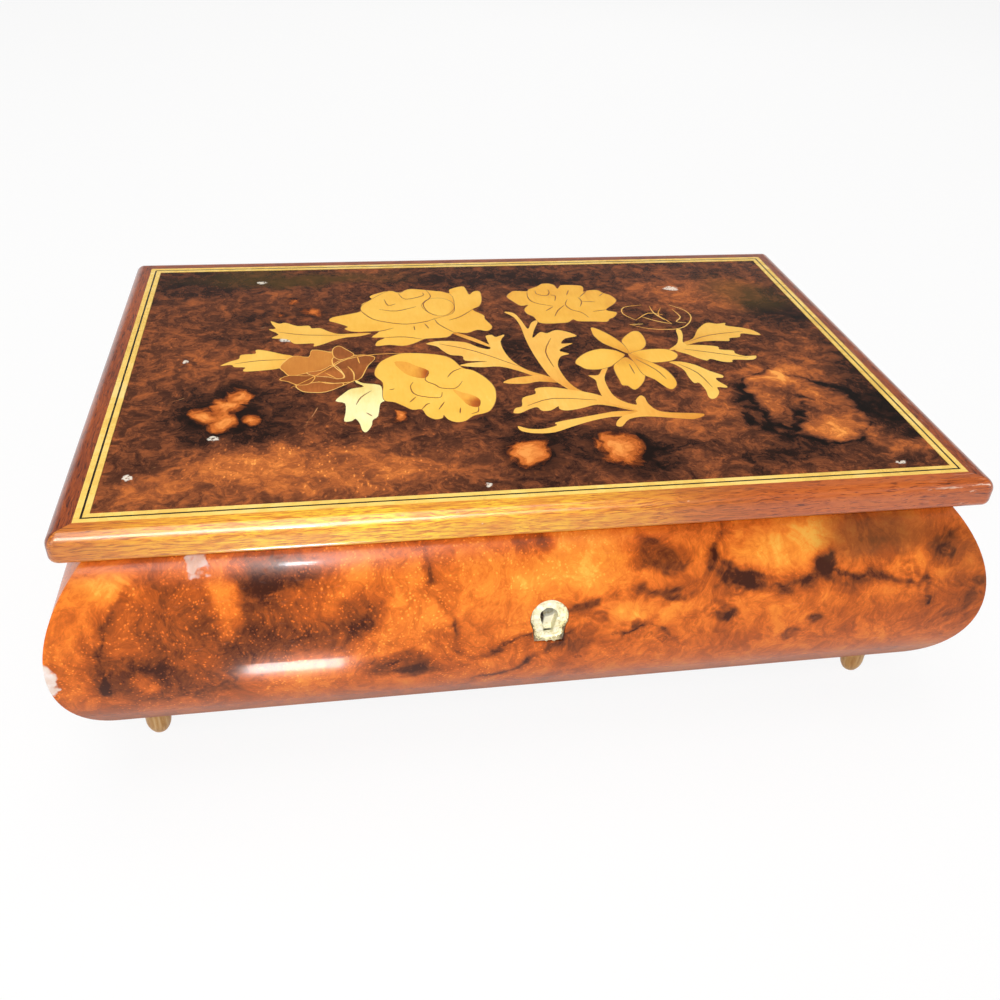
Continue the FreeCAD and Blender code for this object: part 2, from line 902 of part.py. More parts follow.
base_board = cut(
    "base_board",
    common("base_stock", case_core, base_zone),
    key_well,
    arbor_hole,
    feet,
    *mount_recesses,
)
left_veneer = cut(
    "left_veneer", common("left_veneer_sheet", case_skin, left_zone), feet, *mount_recesses
)
base_felt = cut(
    "base_felt", common("felt_sheet", case_skin, felt_zone), key_well, *mount_recesses
)

# Inside: divider, ledges and clear cover of the movement bay, velvet cards of the jewellery tray.
inside_depth = "inner_back_y - inner_front_y"
divider = block(
    "divider",
    "divider_thickness",
    inside_depth,
    "rim_z - divider_drop - floor_z",
    "divider_x",
    "inner_front_y",
    "floor_z",
)
cover_ledges = group(
    "cover_ledges",
    *[
        block(
            "cover_ledge_" + side,
            "ledge_width",
            inside_depth,
            "ledge_height",
            x,
            "inner_front_y",
            "cover_height - ledge_height",
        )
        for side, x in {"left": "-inner_x", "right": "divider_x - ledge_width"}.items()
    ],
)
cover_sheet = block(
    "cover_sheet",
    "movement_bay - 2 * cover_clearance",
    f"{inside_depth} - 2 * cover_clearance",
    "cover_thickness",
    "-inner_x + cover_clearance",
    "inner_front_y + cover_clearance",
    "cover_height",
)
cover_notch = rod(
    "cover_notch",
    "cover_notch_radius",
    "cover_thickness",
    "-inner_x + movement_bay / 2",
    "inner_front_y",
    "cover_height",
)
cover_hole = rod(
    "cover_hole", "stop_radius + cover_clearance", "cover_thickness", "fly_x", "stop_y", "cover_height"
)
movement_cover = cut("movement_cover", cover_sheet, cover_notch, cover_hole)
tray_width = "inner_x - tray_x"
card_z = "floor_z + lining"
card_height = "rim_z - lining_drop - floor_z - lining"
lining_floor = block(
    "lining_floor", tray_width, inside_depth, "lining", "tray_x", "inner_front_y", "floor_z"
)
card_depth = f"{inside_depth} - 2 * lining"
card_y = "inner_front_y + lining"
lining_sides = group(
    "lining_sides",
    block("card_front", tray_width, "lining", card_height, "tray_x", "inner_front_y", card_z),
    block("card_back", tray_width, "lining", card_height, "tray_x", "inner_back_y - lining", card_z),
    block("card_right", "lining", card_depth, card_height, "inner_x - lining", card_y, card_z),
    block("card_left", "lining", card_depth, card_height, "tray_x", card_y, card_z),
)

# Lid: mahogany lip with rounded arrises round a core board, stringing and a burl panel.
lid_blank = padded(
    "lid_blank",
    "XY_Plane",
    rounded_rectangle("-lid_width / 2", "lid_front_y", "lid_width / 2", "back_y", "lid_corner_round"),
    "lid_thickness",
)
put(lid_blank, "0", "0", "lid_z")
doc.recompute()


def round_face(body, face_z, radius):
    base = body.Tip
    faces = base.Shape.Faces
    number = min(range(len(faces)), key=lambda index: abs(faces[index].CenterOfMass.z - face_z))
    fillet = body.newObject("PartDesign::Fillet", body.Name + "_round")
    fillet.Base = (base, [f"Face{number + 1}"])
    bind(fillet, Radius=radius)
    doc.recompute()


round_face(lid_blank, value("lid_thickness"), "lip_top_round")
round_face(lid_blank, 0, "lip_under_round")
board_stock = block(
    "board_stock",
    "lid_width - 2 * lip_width",
    "lid_depth - 2 * lip_width",
    "lid_thickness",
    "-lid_width / 2 + lip_width",
    "lid_front_y + lip_width",
    "lid_z",
)
lip_ring = cut("lip_ring", lid_blank, board_stock)
lid_edges = {
    "front": [("-1", "-1"), ("1", "-1")],
    "right": [("1", "-1"), ("1", "1")],
    "back": [("1", "1"), ("-1", "1")],
    "left": [("-1", "1"), ("-1", "-1")],
}


def lid_corner(across, along_side, inset):
    return (f"{across} * (lid_width / 2 - {inset})", f"lid_middle_y + {along_side} * (lid_depth / 2 - {inset})")


def lid_lip(side, cuts=()):
    first, last = lid_edges[side]
    zone = padded(
        f"lip_zone_{side}",
        "XY_Plane",
        [
            lid_corner(*first, "(0 - lip_width)"),
            lid_corner(*last, "(0 - lip_width)"),
            lid_corner(*last, "panel_inset"),
            lid_corner(*first, "panel_inset"),
        ],
        "2 * top_z",
    )
    if not cuts:
        return common("lid_lip_" + side, lip_ring, zone)
    return cut("lid_lip_" + side, common(f"lip_stock_{side}", lip_ring, zone), *cuts)


lid_lips = [lid_lip(side) for side in ("front", "left", "right")]
lid_lips.append(lid_lip("back", [*lid_leaf_beds, hinge_screws_lid]))


def inlay_block(label, inset):
    return block(
        label,
        f"lid_width - 2 * ({inset})",
        f"lid_depth - 2 * ({inset})",
        "veneer",
        f"-lid_width / 2 + {inset}",
        f"lid_front_y + {inset}",
        "face_z",
    )


def string_line(label, inset, width):
    outside = inlay_block(label + "_outside", inset)
    inside = inlay_block(label + "_inside", f"{inset} + {width}")
    return cut(label, outside, inside)


strings_light = group(
    "strings_light",
    string_line("string_outer", "lip_width", "light_string"),
    string_line("string_inner", "inner_inset", "light_string"),
)
string_dark = string_line("string_dark", "dark_inset", "dark_string")

# Marquetry let into the lid veneer. Blossoms have a heart and round petals, each with its bearing,
# reach and width; leaves and stems run from base to tip in two arcs, with a width, a bow and side lobes.
blossoms = {
    "blown_rose": (
        (-24.5, 29),
        16,
        [(183, 25, 13), (150, 21, 15), (122, 22, 16), (88, 22, 17), (53, 28, 15), (30, 27, 13)]
        + [(2, 23, 15), (-19, 25, 12), (-50, 18, 14), (-80, 18, 15), (-106, 20, 14), (-130, 21, 13), (-158, 18, 12)],
    ),
    "round_rose": (
        (-22, -17),
        13,
        [(140, 20, 17), (100, 20, 17), (60, 17, 15), (20, 17, 16), (-18, 18, 16), (-52, 18, 15), (-86, 20, 15)]
        + [(-122, 15, 14), (178, 16, 15), (-155, 14, 13)],
    ),
    "garden_rose": (
        (26, 36),
        12,
        [(163, 18, 11), (128, 17, 14), (92, 16, 14), (55, 16, 14), (22, 18, 13), (-8, 20, 12), (-38, 20, 11)]
        + [(-72, 16, 13), (-105, 15, 13), (-142, 15, 11)],
    ),
    "shaded_rose": (
        (-52, -4),
        8,
        [(100, 14, 12), (55, 13, 12), (18, 14, 10), (-25, 11, 12), (-70, 13, 13), (-108, 14, 12), (-150, 14, 10)]
        + [(168, 12, 11), (135, 11, 11)],
    ),
}
lily = ((38.3, -3.1), [(113, 20, 9), (66, 18, 10), (-2, 16.5, 9), (-66, 22.5, 10), (-104, 21, 11), (184, 17.5, 10)])
# Side lobes as shares of their leaf's length and width.
first_lobe = 0.3
lobe_step = 0.28
lobe_reach = 0.26
lobe_spread = 0.75
lobe_width = 0.45
lobe_bow = 0.04
leaf_runs = [
    ((-40, 13), (-69, 26), 10, 0.06, 2),
    ((-60, 3), (-82, 1), 9, -0.05, 2),
    ((15, -15), (-22, 11), 9, -0.14, 2),
    ((6, -4), (2.5, 15), 7, 0.16, 0),
    ((15, 0), (5, 31), 5.5, -0.12, 0),
    ((14, -2), (26, 13.5), 9, -0.22, 1),
    ((15, -15), (-2.5, -15), 5, 0.1, 0),
    ((35.4, -36.6), (-3, -33), 9, 0.13, 2),
    ((33, -36.5), (-3, -43), 4.6, -0.06, 0),
    ((32, -32), (23, -14.5), 5, 0.16, 0),
    ((55, 0), (85.5, 8.5), 8, 0.1, 2),
    ((55, 0), (77.5, -9.5), 6.5, 0.08, 0),
    ((50, -8), (56, -30), 9, 0.16, 2),
    ((-35, -16), (-50, -22.5), 6.5, 0.08, 0),
    ((-36, -16), (-48, -33.5), 7.5, 0.06, 0),
    ((-36, -16), (-43, -40), 7.5, -0.04, 0),
    ((50, -39.5), (26, -33.2), 3.4, 0.04, 0),
    ((35, -36.2), (14, -12), 3.6, 0.1, 0),
    ((16, -16), (12, 22), 3.2, -0.1, 0),
    ((30, -33), (37, -14), 2.6, 0.16, 0),
    ((46, -6), (60, 14), 2.4, -0.16, 0),
]


def inlay_disc(label, spot, radius):
    return rod(
        label,
        f"{radius:.4f} * inlay_unit",
        "veneer",
        f"{spot.x:.4f} * inlay_unit",
        f"lid_middle_y + {spot.y:.4f} * inlay_unit",
        "face_z",
    )


def from_centre(centre, bearing, reach):
    angle = math.radians(bearing)
    return Vector(*centre, 0) + Vector(math.cos(angle), math.sin(angle), 0) * reach


def arc_disc(label, base, tip, side, rise):
    # The disc whose rim passes through base and tip and bulges towards the side by the rise.
    half = (tip - base).Length / 2
    radius = (half ** 2 + rise ** 2) / (2 * rise)
    return inlay_disc(label, (base + tip) / 2 + side * (rise - radius), radius)


def leaf_blade(label, base, tip, width, bow):
    run = tip - base
    side = Vector(-run.y, run.x, 0).normalize()
    if bow < 0:
        side = -side
    outer = abs(bow) * run.Length + width / 2
    inner = abs(bow) * run.Length - width / 2
    outer_disc = arc_disc(label + "_outer", base, tip, side, outer)
    if inner > 0:
        return cut(label, outer_disc, arc_disc(label + "_inner", base, tip, side, inner))
    return common(label, outer_disc, arc_disc(label + "_inner", base, tip, -side, -inner))


def leaf(label, base, tip, width, bow, lobes):
    start = Vector(*base, 0)
    stop = Vector(*tip, 0)
    run = stop - start
    across = Vector(-run.y, run.x, 0)
    blades = [leaf_blade(label + "_blade", start, stop, width, bow)]
    for number in range(lobes):
        share = first_lobe + lobe_step * number
        root = start + run * share + across * 4 * bow * share * (1 - share)
        for name, hand in (("left", 1), ("right", -1)):
            lobe_tip = root + run * lobe_reach + across * hand * lobe_spread * width / run.Length
            lobe = leaf_blade(f"{label}_{name}{number}", root, lobe_tip, lobe_width * width, lobe_bow * hand)
            blades.append(lobe)
    return blades


def blossom(label, centre, heart, petals):
    pieces = [inlay_disc(label + "_heart", Vector(*centre, 0), heart)]
    for number, (bearing, reach, width) in enumerate(petals):
        spot = from_centre(centre, bearing, reach - width / 2)
        pieces.append(inlay_disc(f"{label}_petal{number}", spot, width / 2))
    return fuse(label, *pieces)


lily_petals = [
    leaf_blade(f"lily_petal{number}", from_centre(lily[0], bearing, -2), from_centre(lily[0], bearing, reach), width, 0)
    for number, (bearing, reach, width) in enumerate(lily[1])
]
marquetry_flowers = group(
    "marquetry_flowers",
    *[blossom(name, *plan) for name, plan in blossoms.items()],
    fuse("lily", *lily_petals),
)
leaf_pieces = []
for number, run in enumerate(leaf_runs):
    leaf_pieces.extend(leaf(f"leaf{number}", *run))
marquetry_leaves = cut("marquetry_leaves", fuse("leaf_spray", *leaf_pieces), marquetry_flowers)
lid_veneer = cut("lid_veneer", inlay_block("veneer_panel", "panel_inset"), marquetry_flowers, marquetry_leaves)
lid_board = cut("lid_board", board_stock, inlay_block("inlay_bed", "lip_width"), catch_plate)
lid_lining = block(
    "lid_lining_card",
    "2 * (inner_x - lid_lining_gap)",
    f"{inside_depth} - 2 * lid_lining_gap",
    "lid_lining",
    "-inner_x + lid_lining_gap",
    "inner_front_y + lid_lining_gap",
    "lid_z - lid_lining",
)

# Winding arbor, with its key in the well under the base.
arbor_low_z = "key_top_z - key_hub_height"
winding_arbor = turned(
    "winding_arbor",
    [
        ("0", arbor_low_z),
        ("arbor_end_radius", arbor_low_z),
        ("arbor_end_radius", "key_top_z"),
        ("arbor_radius", "key_top_z"),
        ("arbor_radius", "crown_z + cap_thickness"),
        ("0", "crown_z + cap_thickness"),
    ],
)
put(winding_arbor, "arbor_x", "arbor_y", "0")
lobe_z = "key_top_z - key_lobe_radius"
blade_y = "arbor_y - key_blade / 2"
key_pieces = [rod("key_hub", "key_hub_radius", "key_hub_height", "arbor_x", "arbor_y", arbor_low_z)]
key_cuts = [rod("key_bore", "arbor_end_radius", "key_hub_height", "arbor_x", "arbor_y", arbor_low_z)]
key_pieces.append(
    block(
        "key_web",
        "2 * key_lobe_reach",
        "key_blade",
        "key_lobe_radius",
        "arbor_x - key_lobe_reach",
        blade_y,
        f"{lobe_z} - key_lobe_radius / 2",
    )
)
for side, x in {"left": "arbor_x - key_lobe_reach", "right": "arbor_x + key_lobe_reach"}.items():
    key_pieces.append(rod("key_lobe_" + side, "key_lobe_radius", "key_blade", x, blade_y, lobe_z, "y"))
    key_cuts.append(rod("key_eye_" + side, "key_lobe_hole", "key_blade", x, blade_y, lobe_z, "y"))
winding_key = cut("winding_key", fuse("key_blank", *key_pieces), *key_cuts)

# Bedplate of the movement.
bedplate = padded(
    "bedplate",
    "XY_Plane",
    rounded_rectangle("bed_x", "bed_y", f"({bed_right})", f"({bed_back})", "bed_corner"),
    "bed_thickness",
    holes=[("arbor_x", "arbor_y", "arbor_radius + running_fit")]
    + [(x, y, "mount_screw_radius") for x, y in mount_spots],
)
put(bedplate, "0", "0", "floor_z")

# Spring barrel: a cup whose rim carries crown teeth, closed by a cap over the mainspring.
bore = "arbor_radius + running_fit"
rim_height = "barrel_height + (tooth_root + tooth_top) * drive_module"
spring_barrel = turned(
    "spring_barrel",
    [
        (bore, "0"),
        ("barrel_outer", "0"),
        ("barrel_outer", rim_height),
        ("barrel_inner", rim_height),
        ("barrel_inner", "barrel_floor"),
        (bore, "barrel_floor"),
    ],
)
half_gap = "(1 - tooth_share) * pi * drive_module / 2"
gap_root = f"{half_gap} - tooth_root * drive_module * tan(flank_angle)"
gap_top = f"{half_gap} + (tooth_top + 1) * drive_module * tan(flank_angle)"
crown_gap = pocketed(
    spring_barrel,
    "YZ_Plane",
    [
        (f"-({gap_root})", "barrel_height"),
        (gap_root, "barrel_height"),
        (gap_top, f"{rim_height} + drive_module"),
        (f"-({gap_top})", f"{rim_height} + drive_module"),
    ],
    "2 * barrel_wall",
    offset="barrel_inner - barrel_wall / 2",
)
repeated(spring_barrel, crown_gap, "crown_teeth")
spring_barrel.Placement = Placement(Vector(), Rotation(Vector(0, 0, 1), 90 + 180 / sizes["crown_teeth"]))
put(spring_barrel, "arbor_x", "arbor_y", "barrel_z")
barrel_cap = turned(
    "barrel_cap",
    [(bore, "0"), ("barrel_inner", "0"), ("barrel_inner", "cap_thickness"), (bore, "cap_thickness")],
)
put(barrel_cap, "arbor_x", "arbor_y", "crown_z - cap_thickness")


# Mainspring: a flat strip wound inwards in half circles whose centres alternate.
def half_turns(offset):
    pitch = value("spring_pitch")
    outer = value("barrel_inner") - value("spring_side_gap") - value("spring_thickness") / 2 - pitch / 4
    arcs = []
    for number in range(2 * int(value("spring_turns"))):
        radius = outer - number * pitch / 2 + offset
        centre = Vector((-1) ** number * pitch / 4, 0, 0)
        turn = 1 if number % 2 == 0 else -1
        spots = [centre + Vector(turn * radius, 0, 0)]
        spots.append(centre + Vector(0, turn * radius, 0))
        spots.append(centre + Vector(-turn * radius, 0, 0))
        arcs.append(Part.Arc(*spots).toShape())
    return arcs


def spring_strip():
    outside = half_turns(value("spring_thickness") / 2)
    inside = half_turns(-value("spring_thickness") / 2)
    starts = [arcs[0].Vertexes[0].Point for arcs in (outside, inside)]
    ends = [arcs[-1].Vertexes[-1].Point for arcs in (outside, inside)]
    caps = [Part.makeLine(*starts), Part.makeLine(*ends)]
    wire = Part.Wire(Part.__sortEdges__(outside + inside + caps))
    inside_height = value("barrel_height") - value("barrel_floor") - value("cap_thickness")
    return Part.Face(wire).extrude(Vector(0, 0, inside_height - 2 * value("spring_side_gap")))


mainspring = solid("mainspring", spring_strip())
put(mainspring, "arbor_x", "arbor_y", "barrel_z + barrel_floor + spring_side_gap")


# Spur gears with straight-flanked teeth; a gap lies on the gear's own X axis before it is turned.
def gear(label, teeth, module, width, share, hole, phase):
    pitch_radius = f"{teeth} * {module} / 2"
    tip = f"{pitch_radius} + tooth_top * {module}"
    body = padded(label, "XY_Plane", None, width, holes=[("0", "0", tip), ("0", "0", hole)])
    slope = f"tan(flank_angle + (1 - {share}) * 180 / {teeth})"
    middle = f"(1 - {share}) * pi * {module} / 2"
    root = f"{middle} - tooth_root * {module} * {slope}"
    top = f"{middle} + (tooth_top + 1) * {module} * {slope}"
    root_radius = f"{pitch_radius} - tooth_root * {module}"
    open_radius = f"{tip} + {module}"
    gap = pocketed(
        body,
        "XY_Plane",
        [
            (root_radius, f"-({root})"),
            (open_radius, f"-({top})"),
            (open_radius, top),
            (root_radius, root),
        ],
        width,
    )
    repeated(body, gap, teeth)
    body.Placement = Placement(Vector(), along["y"].multiply(Rotation(Vector(0, 0, 1), phase)))
    return body


# Pinned cylinder on its arbor, driven by the crown and driving the governor.
arbor_turn = along["y"]
cylinder_shell = turned(
    "cylinder_shell",
    [
        ("cylinder_arbor_radius", "0"),
        ("cylinder_radius", "0"),
        ("cylinder_radius", "cylinder_length"),
        ("cylinder_arbor_radius", "cylinder_length"),
        ("cylinder_arbor_radius", "cylinder_length - cylinder_wall"),
        ("cylinder_radius - cylinder_wall", "cylinder_length - cylinder_wall"),
        ("cylinder_radius - cylinder_wall", "cylinder_wall"),
        ("cylinder_arbor_radius", "cylinder_wall"),
    ],
)
cylinder_shell.Placement = Placement(Vector(), arbor_turn)
put(cylinder_shell, "arbor_x", "cylinder_y", "cylinder_z")
cylinder_arbor = rod(
    "cylinder_arbor",
    "cylinder_arbor_radius",
    "train_y + train_width + shake - drive_y + shake",
    "arbor_x",
    "drive_y - shake",
    "cylinder_z",
    "y",
)
drive_pinion = gear(
    "drive_pinion",
    "drive_teeth",
    "drive_module",
    "drive_width",
    "tooth_share",
    "cylinder_arbor_radius",
    90,
)
put(drive_pinion, "arbor_x", "drive_y", "cylinder_z")
train_phase = 180 - sizes["train_angle"]
train_gear = gear(
    "train_gear",
    "train_teeth",
    "train_module",
    "train_width",
    "tooth_share",
    "cylinder_arbor_radius",
    train_phase,
)
put(train_gear, "arbor_x", "train_y", "cylinder_z")


def music_pins():
    golden_turn = 360 * (math.sqrt(5) - 1) / 2
    per_tooth = int(value("pins_per_tooth"))
    thick = value("pin_thickness")
    seat = value("cylinder_radius") - thick / 4
    pins = []
    for tooth in range(int(value("comb_teeth"))):
        for note in range(per_tooth):
            pin = Part.makeBox(thick, thick, value("pin_height") + thick / 4)
            along_axis = value("cylinder_margin") + (tooth + 0.5) * value("comb_pitch")
            pin.translate(Vector(-thick / 2, along_axis - thick / 2, seat))
            angle = tooth * golden_turn + note * 360 / per_tooth + note * note * golden_turn / per_tooth
            pin.rotate(Vector(), Vector(0, 1, 0), angle)
            pins.append(pin)
    return Part.makeCompound(pins)


cylinder_pins = solid("cylinder_pins", music_pins())
put(cylinder_pins, "arbor_x", "cylinder_y", "cylinder_z")

# Comb: tuned teeth that shorten towards the treble, screwed to a raised base.
comb_plate = block(
    "comb_plate", "comb_depth", "comb_length", "comb_thickness", "comb_x", "comb_y", "comb_z"
)


def comb_slots():
    teeth = int(value("comb_teeth"))
    slots = []
    for number in range(1, teeth):
        share = number / teeth
        length = value("longest_tooth") + share * (value("shortest_tooth") - value("longest_tooth"))
        slot = Part.makeBox(length, value("comb_slot"), value("comb_thickness"))
        y = value("comb_y") + number * value("comb_pitch") - value("comb_slot") / 2
        slot.translate(Vector(value("comb_tip_x") - length, y, value("comb_z")))
        slots.append(slot)
    return Part.makeCompound(slots)


comb_cuts = solid("comb_cuts", comb_slots())
comb_base_stock = padded(
    "comb_base_stock",
    "XZ_Plane",
    [
        ("0", "0"),
        ("comb_base_width", "0"),
        ("comb_base_width", "2 * bed_thickness"),
        ("comb_base_width - bed_thickness", "3 * bed_thickness"),
        ("comb_base_width - bed_thickness", "comb_z - bed_top_z - 2 * bed_thickness"),
        ("comb_base_width", "comb_z - bed_top_z - bed_thickness"),
        ("comb_base_width", "comb_z - bed_top_z"),
        ("0", "comb_z - bed_top_z"),
    ],
    "comb_length",
    reverse=True,
)
put(comb_base_stock, "comb_x", "comb_y", "bed_top_z")
comb_screw_x = "comb_x + comb_base_width / 2"
comb_fasteners = []
comb_holes = []
for number in range(sizes["comb_screws"]):
    y = f"comb_y + ({number} + 0.5) * comb_length / comb_screws"
    head_z = "comb_z + comb_thickness"
    head = rod(f"comb_head_{number}", "comb_head_radius", "comb_head_height", comb_screw_x, y, head_z)
    shank_z = "comb_z - 3 * comb_head_height"
    shank = rod(
        f"comb_shank_{number}", "comb_screw_radius", f"{head_z} - ({shank_z})", comb_screw_x, y, shank_z
    )
    slot = block(
        f"comb_driver_slot_{number}",
        "2 * comb_head_radius",
        "comb_head_height / 3",
        "comb_head_height / 2",
        f"{comb_screw_x} - comb_head_radius",
        f"{y} - comb_head_height / 6",
        f"{head_z} + comb_head_height / 2",
    )
    comb_holes.append(shank)
    comb_fasteners.append(cut(f"comb_screw_{number}", fuse(f"comb_stud_{number}", head, shank), slot))
comb = cut("comb", comb_plate, comb_cuts, *comb_holes)
comb_base = cut("comb_base", comb_base_stock, *comb_holes)
comb_screws = group("comb_screws_set", *comb_fasteners)

# Bearings of the cylinder; the back one also carries the governor arbor.
head = "bearing_head_radius"
axis_height = "cylinder_z - bed_top_z"
front_bearing = padded(
    "front_bearing",
    "XZ_Plane",
    [
        ("-bearing_half_width", "0"),
        ("bearing_half_width", "0"),
        (head, axis_height, head),
        ("0", f"{axis_height} + {head}", head),
        (f"-{head}", axis_height),
    ],
    "bearing_thickness",
    holes=[("0", axis_height, "cylinder_arbor_radius + running_fit")],
    reverse=True,
)
put(front_bearing, "arbor_x", "front_bearing_y", "bed_top_z")
side_x = "governor_x - arbor_x"
side_height = "governor_z - bed_top_z"
back_bearing = padded(
    "back_bearing",
    "XZ_Plane",
    [
        (f"{side_x} - {head}", "0"),
        ("bearing_half_width", "0"),
        (head, axis_height, head),
        ("0", f"{axis_height} + {head}"),
        (side_x, f"{side_height} + {head}", head),
        (f"{side_x} - {head}", side_height),
    ],
    "bearing_thickness",
    holes=[
        ("0", axis_height, "cylinder_arbor_radius + running_fit"),
        (side_x, side_height, "governor_arbor_radius + running_fit"),
    ],
    reverse=True,
)
put(back_bearing, "arbor_x", "back_bearing_y", "bed_top_z")

# Governor: pinion and worm wheel on one arbor, then an upright worm with a fan on top.
governor_arbor = rod(
    "governor_arbor",
    "governor_arbor_radius",
    "frame_y + bearing_thickness - back_bearing_y",
    "governor_x",
    "back_bearing_y",
    "governor_z",
    "y",
)
governor_pinion = gear(
    "governor_pinion",
    "governor_teeth",
    "train_module",
    "train_width",
    "tooth_share",
    "governor_arbor_radius",
    train_phase + 180 + 180 / sizes["governor_teeth"],
)
put(governor_pinion, "governor_x", "train_y", "governor_z")
worm_wheel = gear(
    "worm_wheel",
    "worm_wheel_teeth",
    "train_module",
    "train_width",
    "worm_share",
    "governor_arbor_radius",
    180,
)
put(worm_wheel, "governor_x", "worm_wheel_y", "governor_z")


def worm_thread():
    module = value("train_module")
    pitch = math.pi * module
    deep = value("worm_pitch_radius") - value("tooth_root") * module
    tip = value("worm_pitch_radius") + value("tooth_top") * module
    slope = math.tan(math.radians(value("flank_angle")))
    half = value("worm_share") * pitch / 2
    sunk = deep - value("worm_sink")
    wide = half + (value("worm_pitch_radius") - sunk) * slope
    narrow = half - (tip - value("worm_pitch_radius")) * slope
    core_length = (value("worm_turns") + 1) * pitch
    core = Part.makeCylinder(deep, core_length, Vector(0, 0, -core_length / 2))
    steps_per_turn = 12
    steps = int(value("worm_turns")) * steps_per_turn
    sections = []
    for step in range(steps + 1):
        angle = 2 * math.pi * (step - steps / 2) / steps_per_turn
        rise = pitch * angle / (2 * math.pi)
        outward = Vector(math.cos(angle), math.sin(angle), 0)
        corners = [(sunk, wide), (tip, narrow), (tip, -narrow), (sunk, -wide)]
        spots = [outward * radius + Vector(0, 0, rise + lift) for radius, lift in corners]
        sections.append(Part.makePolygon(spots + spots[:1]))
    thread = Part.makeLoft(sections, True, True)
    return core.fuse(thread)


shaft_low_z = "bed_top_z + frame_arm_thickness / 2"
worm_rod = rod(
    "worm_rod",
    "fly_shaft_radius",
    f"fan_z + fan_height - ({shaft_low_z})",
    "fly_x",
    "fly_y",
    shaft_low_z,
)
worm_screw = solid("worm_screw", worm_thread())
put(worm_screw, "fly_x", "fly_y", "governor_z")
worm_shaft = fuse("worm_shaft", worm_rod, worm_screw)
fan_hub = rod("fan_hub", "fan_hub_radius", "fan_height", "fly_x", "fly_y", "fan_z")
fan_blades = block(
    "fan_blades",
    "2 * sqrt(fan_radius ^ 2 - fan_blade ^ 2 / 4)",
    "fan_blade",
    "fan_height",
    "fly_x - sqrt(fan_radius ^ 2 - fan_blade ^ 2 / 4)",
    "fly_y - fan_blade / 2",
    "fan_z",
)
fan = cut("fan", fuse("fan_blank", fan_hub, fan_blades), worm_rod)

# Governor frame: an upright with an upper and a lower arm for the worm and an eye for the stop rod.
frame_left = "fly_x - frame_arm_width / 2"
frame_right = "governor_x + bearing_half_width"
frame_top = "frame_arm_z + frame_arm_thickness"
frame_plate = block(
    "frame_plate",
    f"{frame_right} - ({frame_left})",
    "bearing_thickness",
    f"{frame_top} - bed_top_z",
    frame_left,
    "frame_y",
    "bed_top_z",
)
arm_y = "fly_y - frame_arm_width / 2"


def frame_arm(label, y, width, z):
    return block(label, "frame_arm_width", width, "frame_arm_thickness", frame_left, y, z)


upper_arm = frame_arm("upper_arm", arm_y, f"frame_y - ({arm_y})", "frame_arm_z")
lower_arm = frame_arm("lower_arm", arm_y, f"frame_y - ({arm_y})", "bed_top_z")
eye_y = "frame_y + bearing_thickness"
eye_arm = frame_arm("eye_arm", eye_y, f"stop_y + frame_arm_width / 2 - ({eye_y})", "frame_arm_z")
frame_holes = [
    rod(
        "governor_pivot",
        "governor_arbor_radius + running_fit",
        "bearing_thickness",
        "governor_x",
        "frame_y",
        "governor_z",
        "y",
    ),
    rod(
        "worm_pivot",
        "fly_shaft_radius + running_fit",
        f"{frame_top} - ({shaft_low_z}) + running_fit",
        "fly_x",
        "fly_y",
        f"{shaft_low_z} - running_fit",
    ),
    rod(
        "stop_eye",
        "stop_radius + running_fit",
        "frame_arm_thickness",
        "fly_x",
        "stop_y",
        "frame_arm_z",
    ),
]
governor_frame = cut(
    "governor_frame",
    fuse("frame_blank", frame_plate, upper_arm, lower_arm, eye_arm),
    *frame_holes,
)

# Stop rod: stands under the lid and drops its pad beside the fan when the lid is shut.
stop_wire = rod(
    "stop_wire", "stop_radius", "stop_top_z - stop_bottom_z", "fly_x", "stop_y", "stop_bottom_z"
)
stop_pad = rod(
    "stop_pad",
    "stop_pad_radius",
    "stop_pad_height",
    "fly_x",
    "stop_y",
    "fan_z + (fan_height - stop_pad_height) / 2",
)
stop_button = rod(
    "stop_button",
    "2 * stop_radius",
    "stop_pad_radius",
    "fly_x",
    "stop_y",
    "stop_top_z - stop_pad_radius",
)
stop_rod = fuse("stop_rod", stop_wire, stop_pad, stop_button)

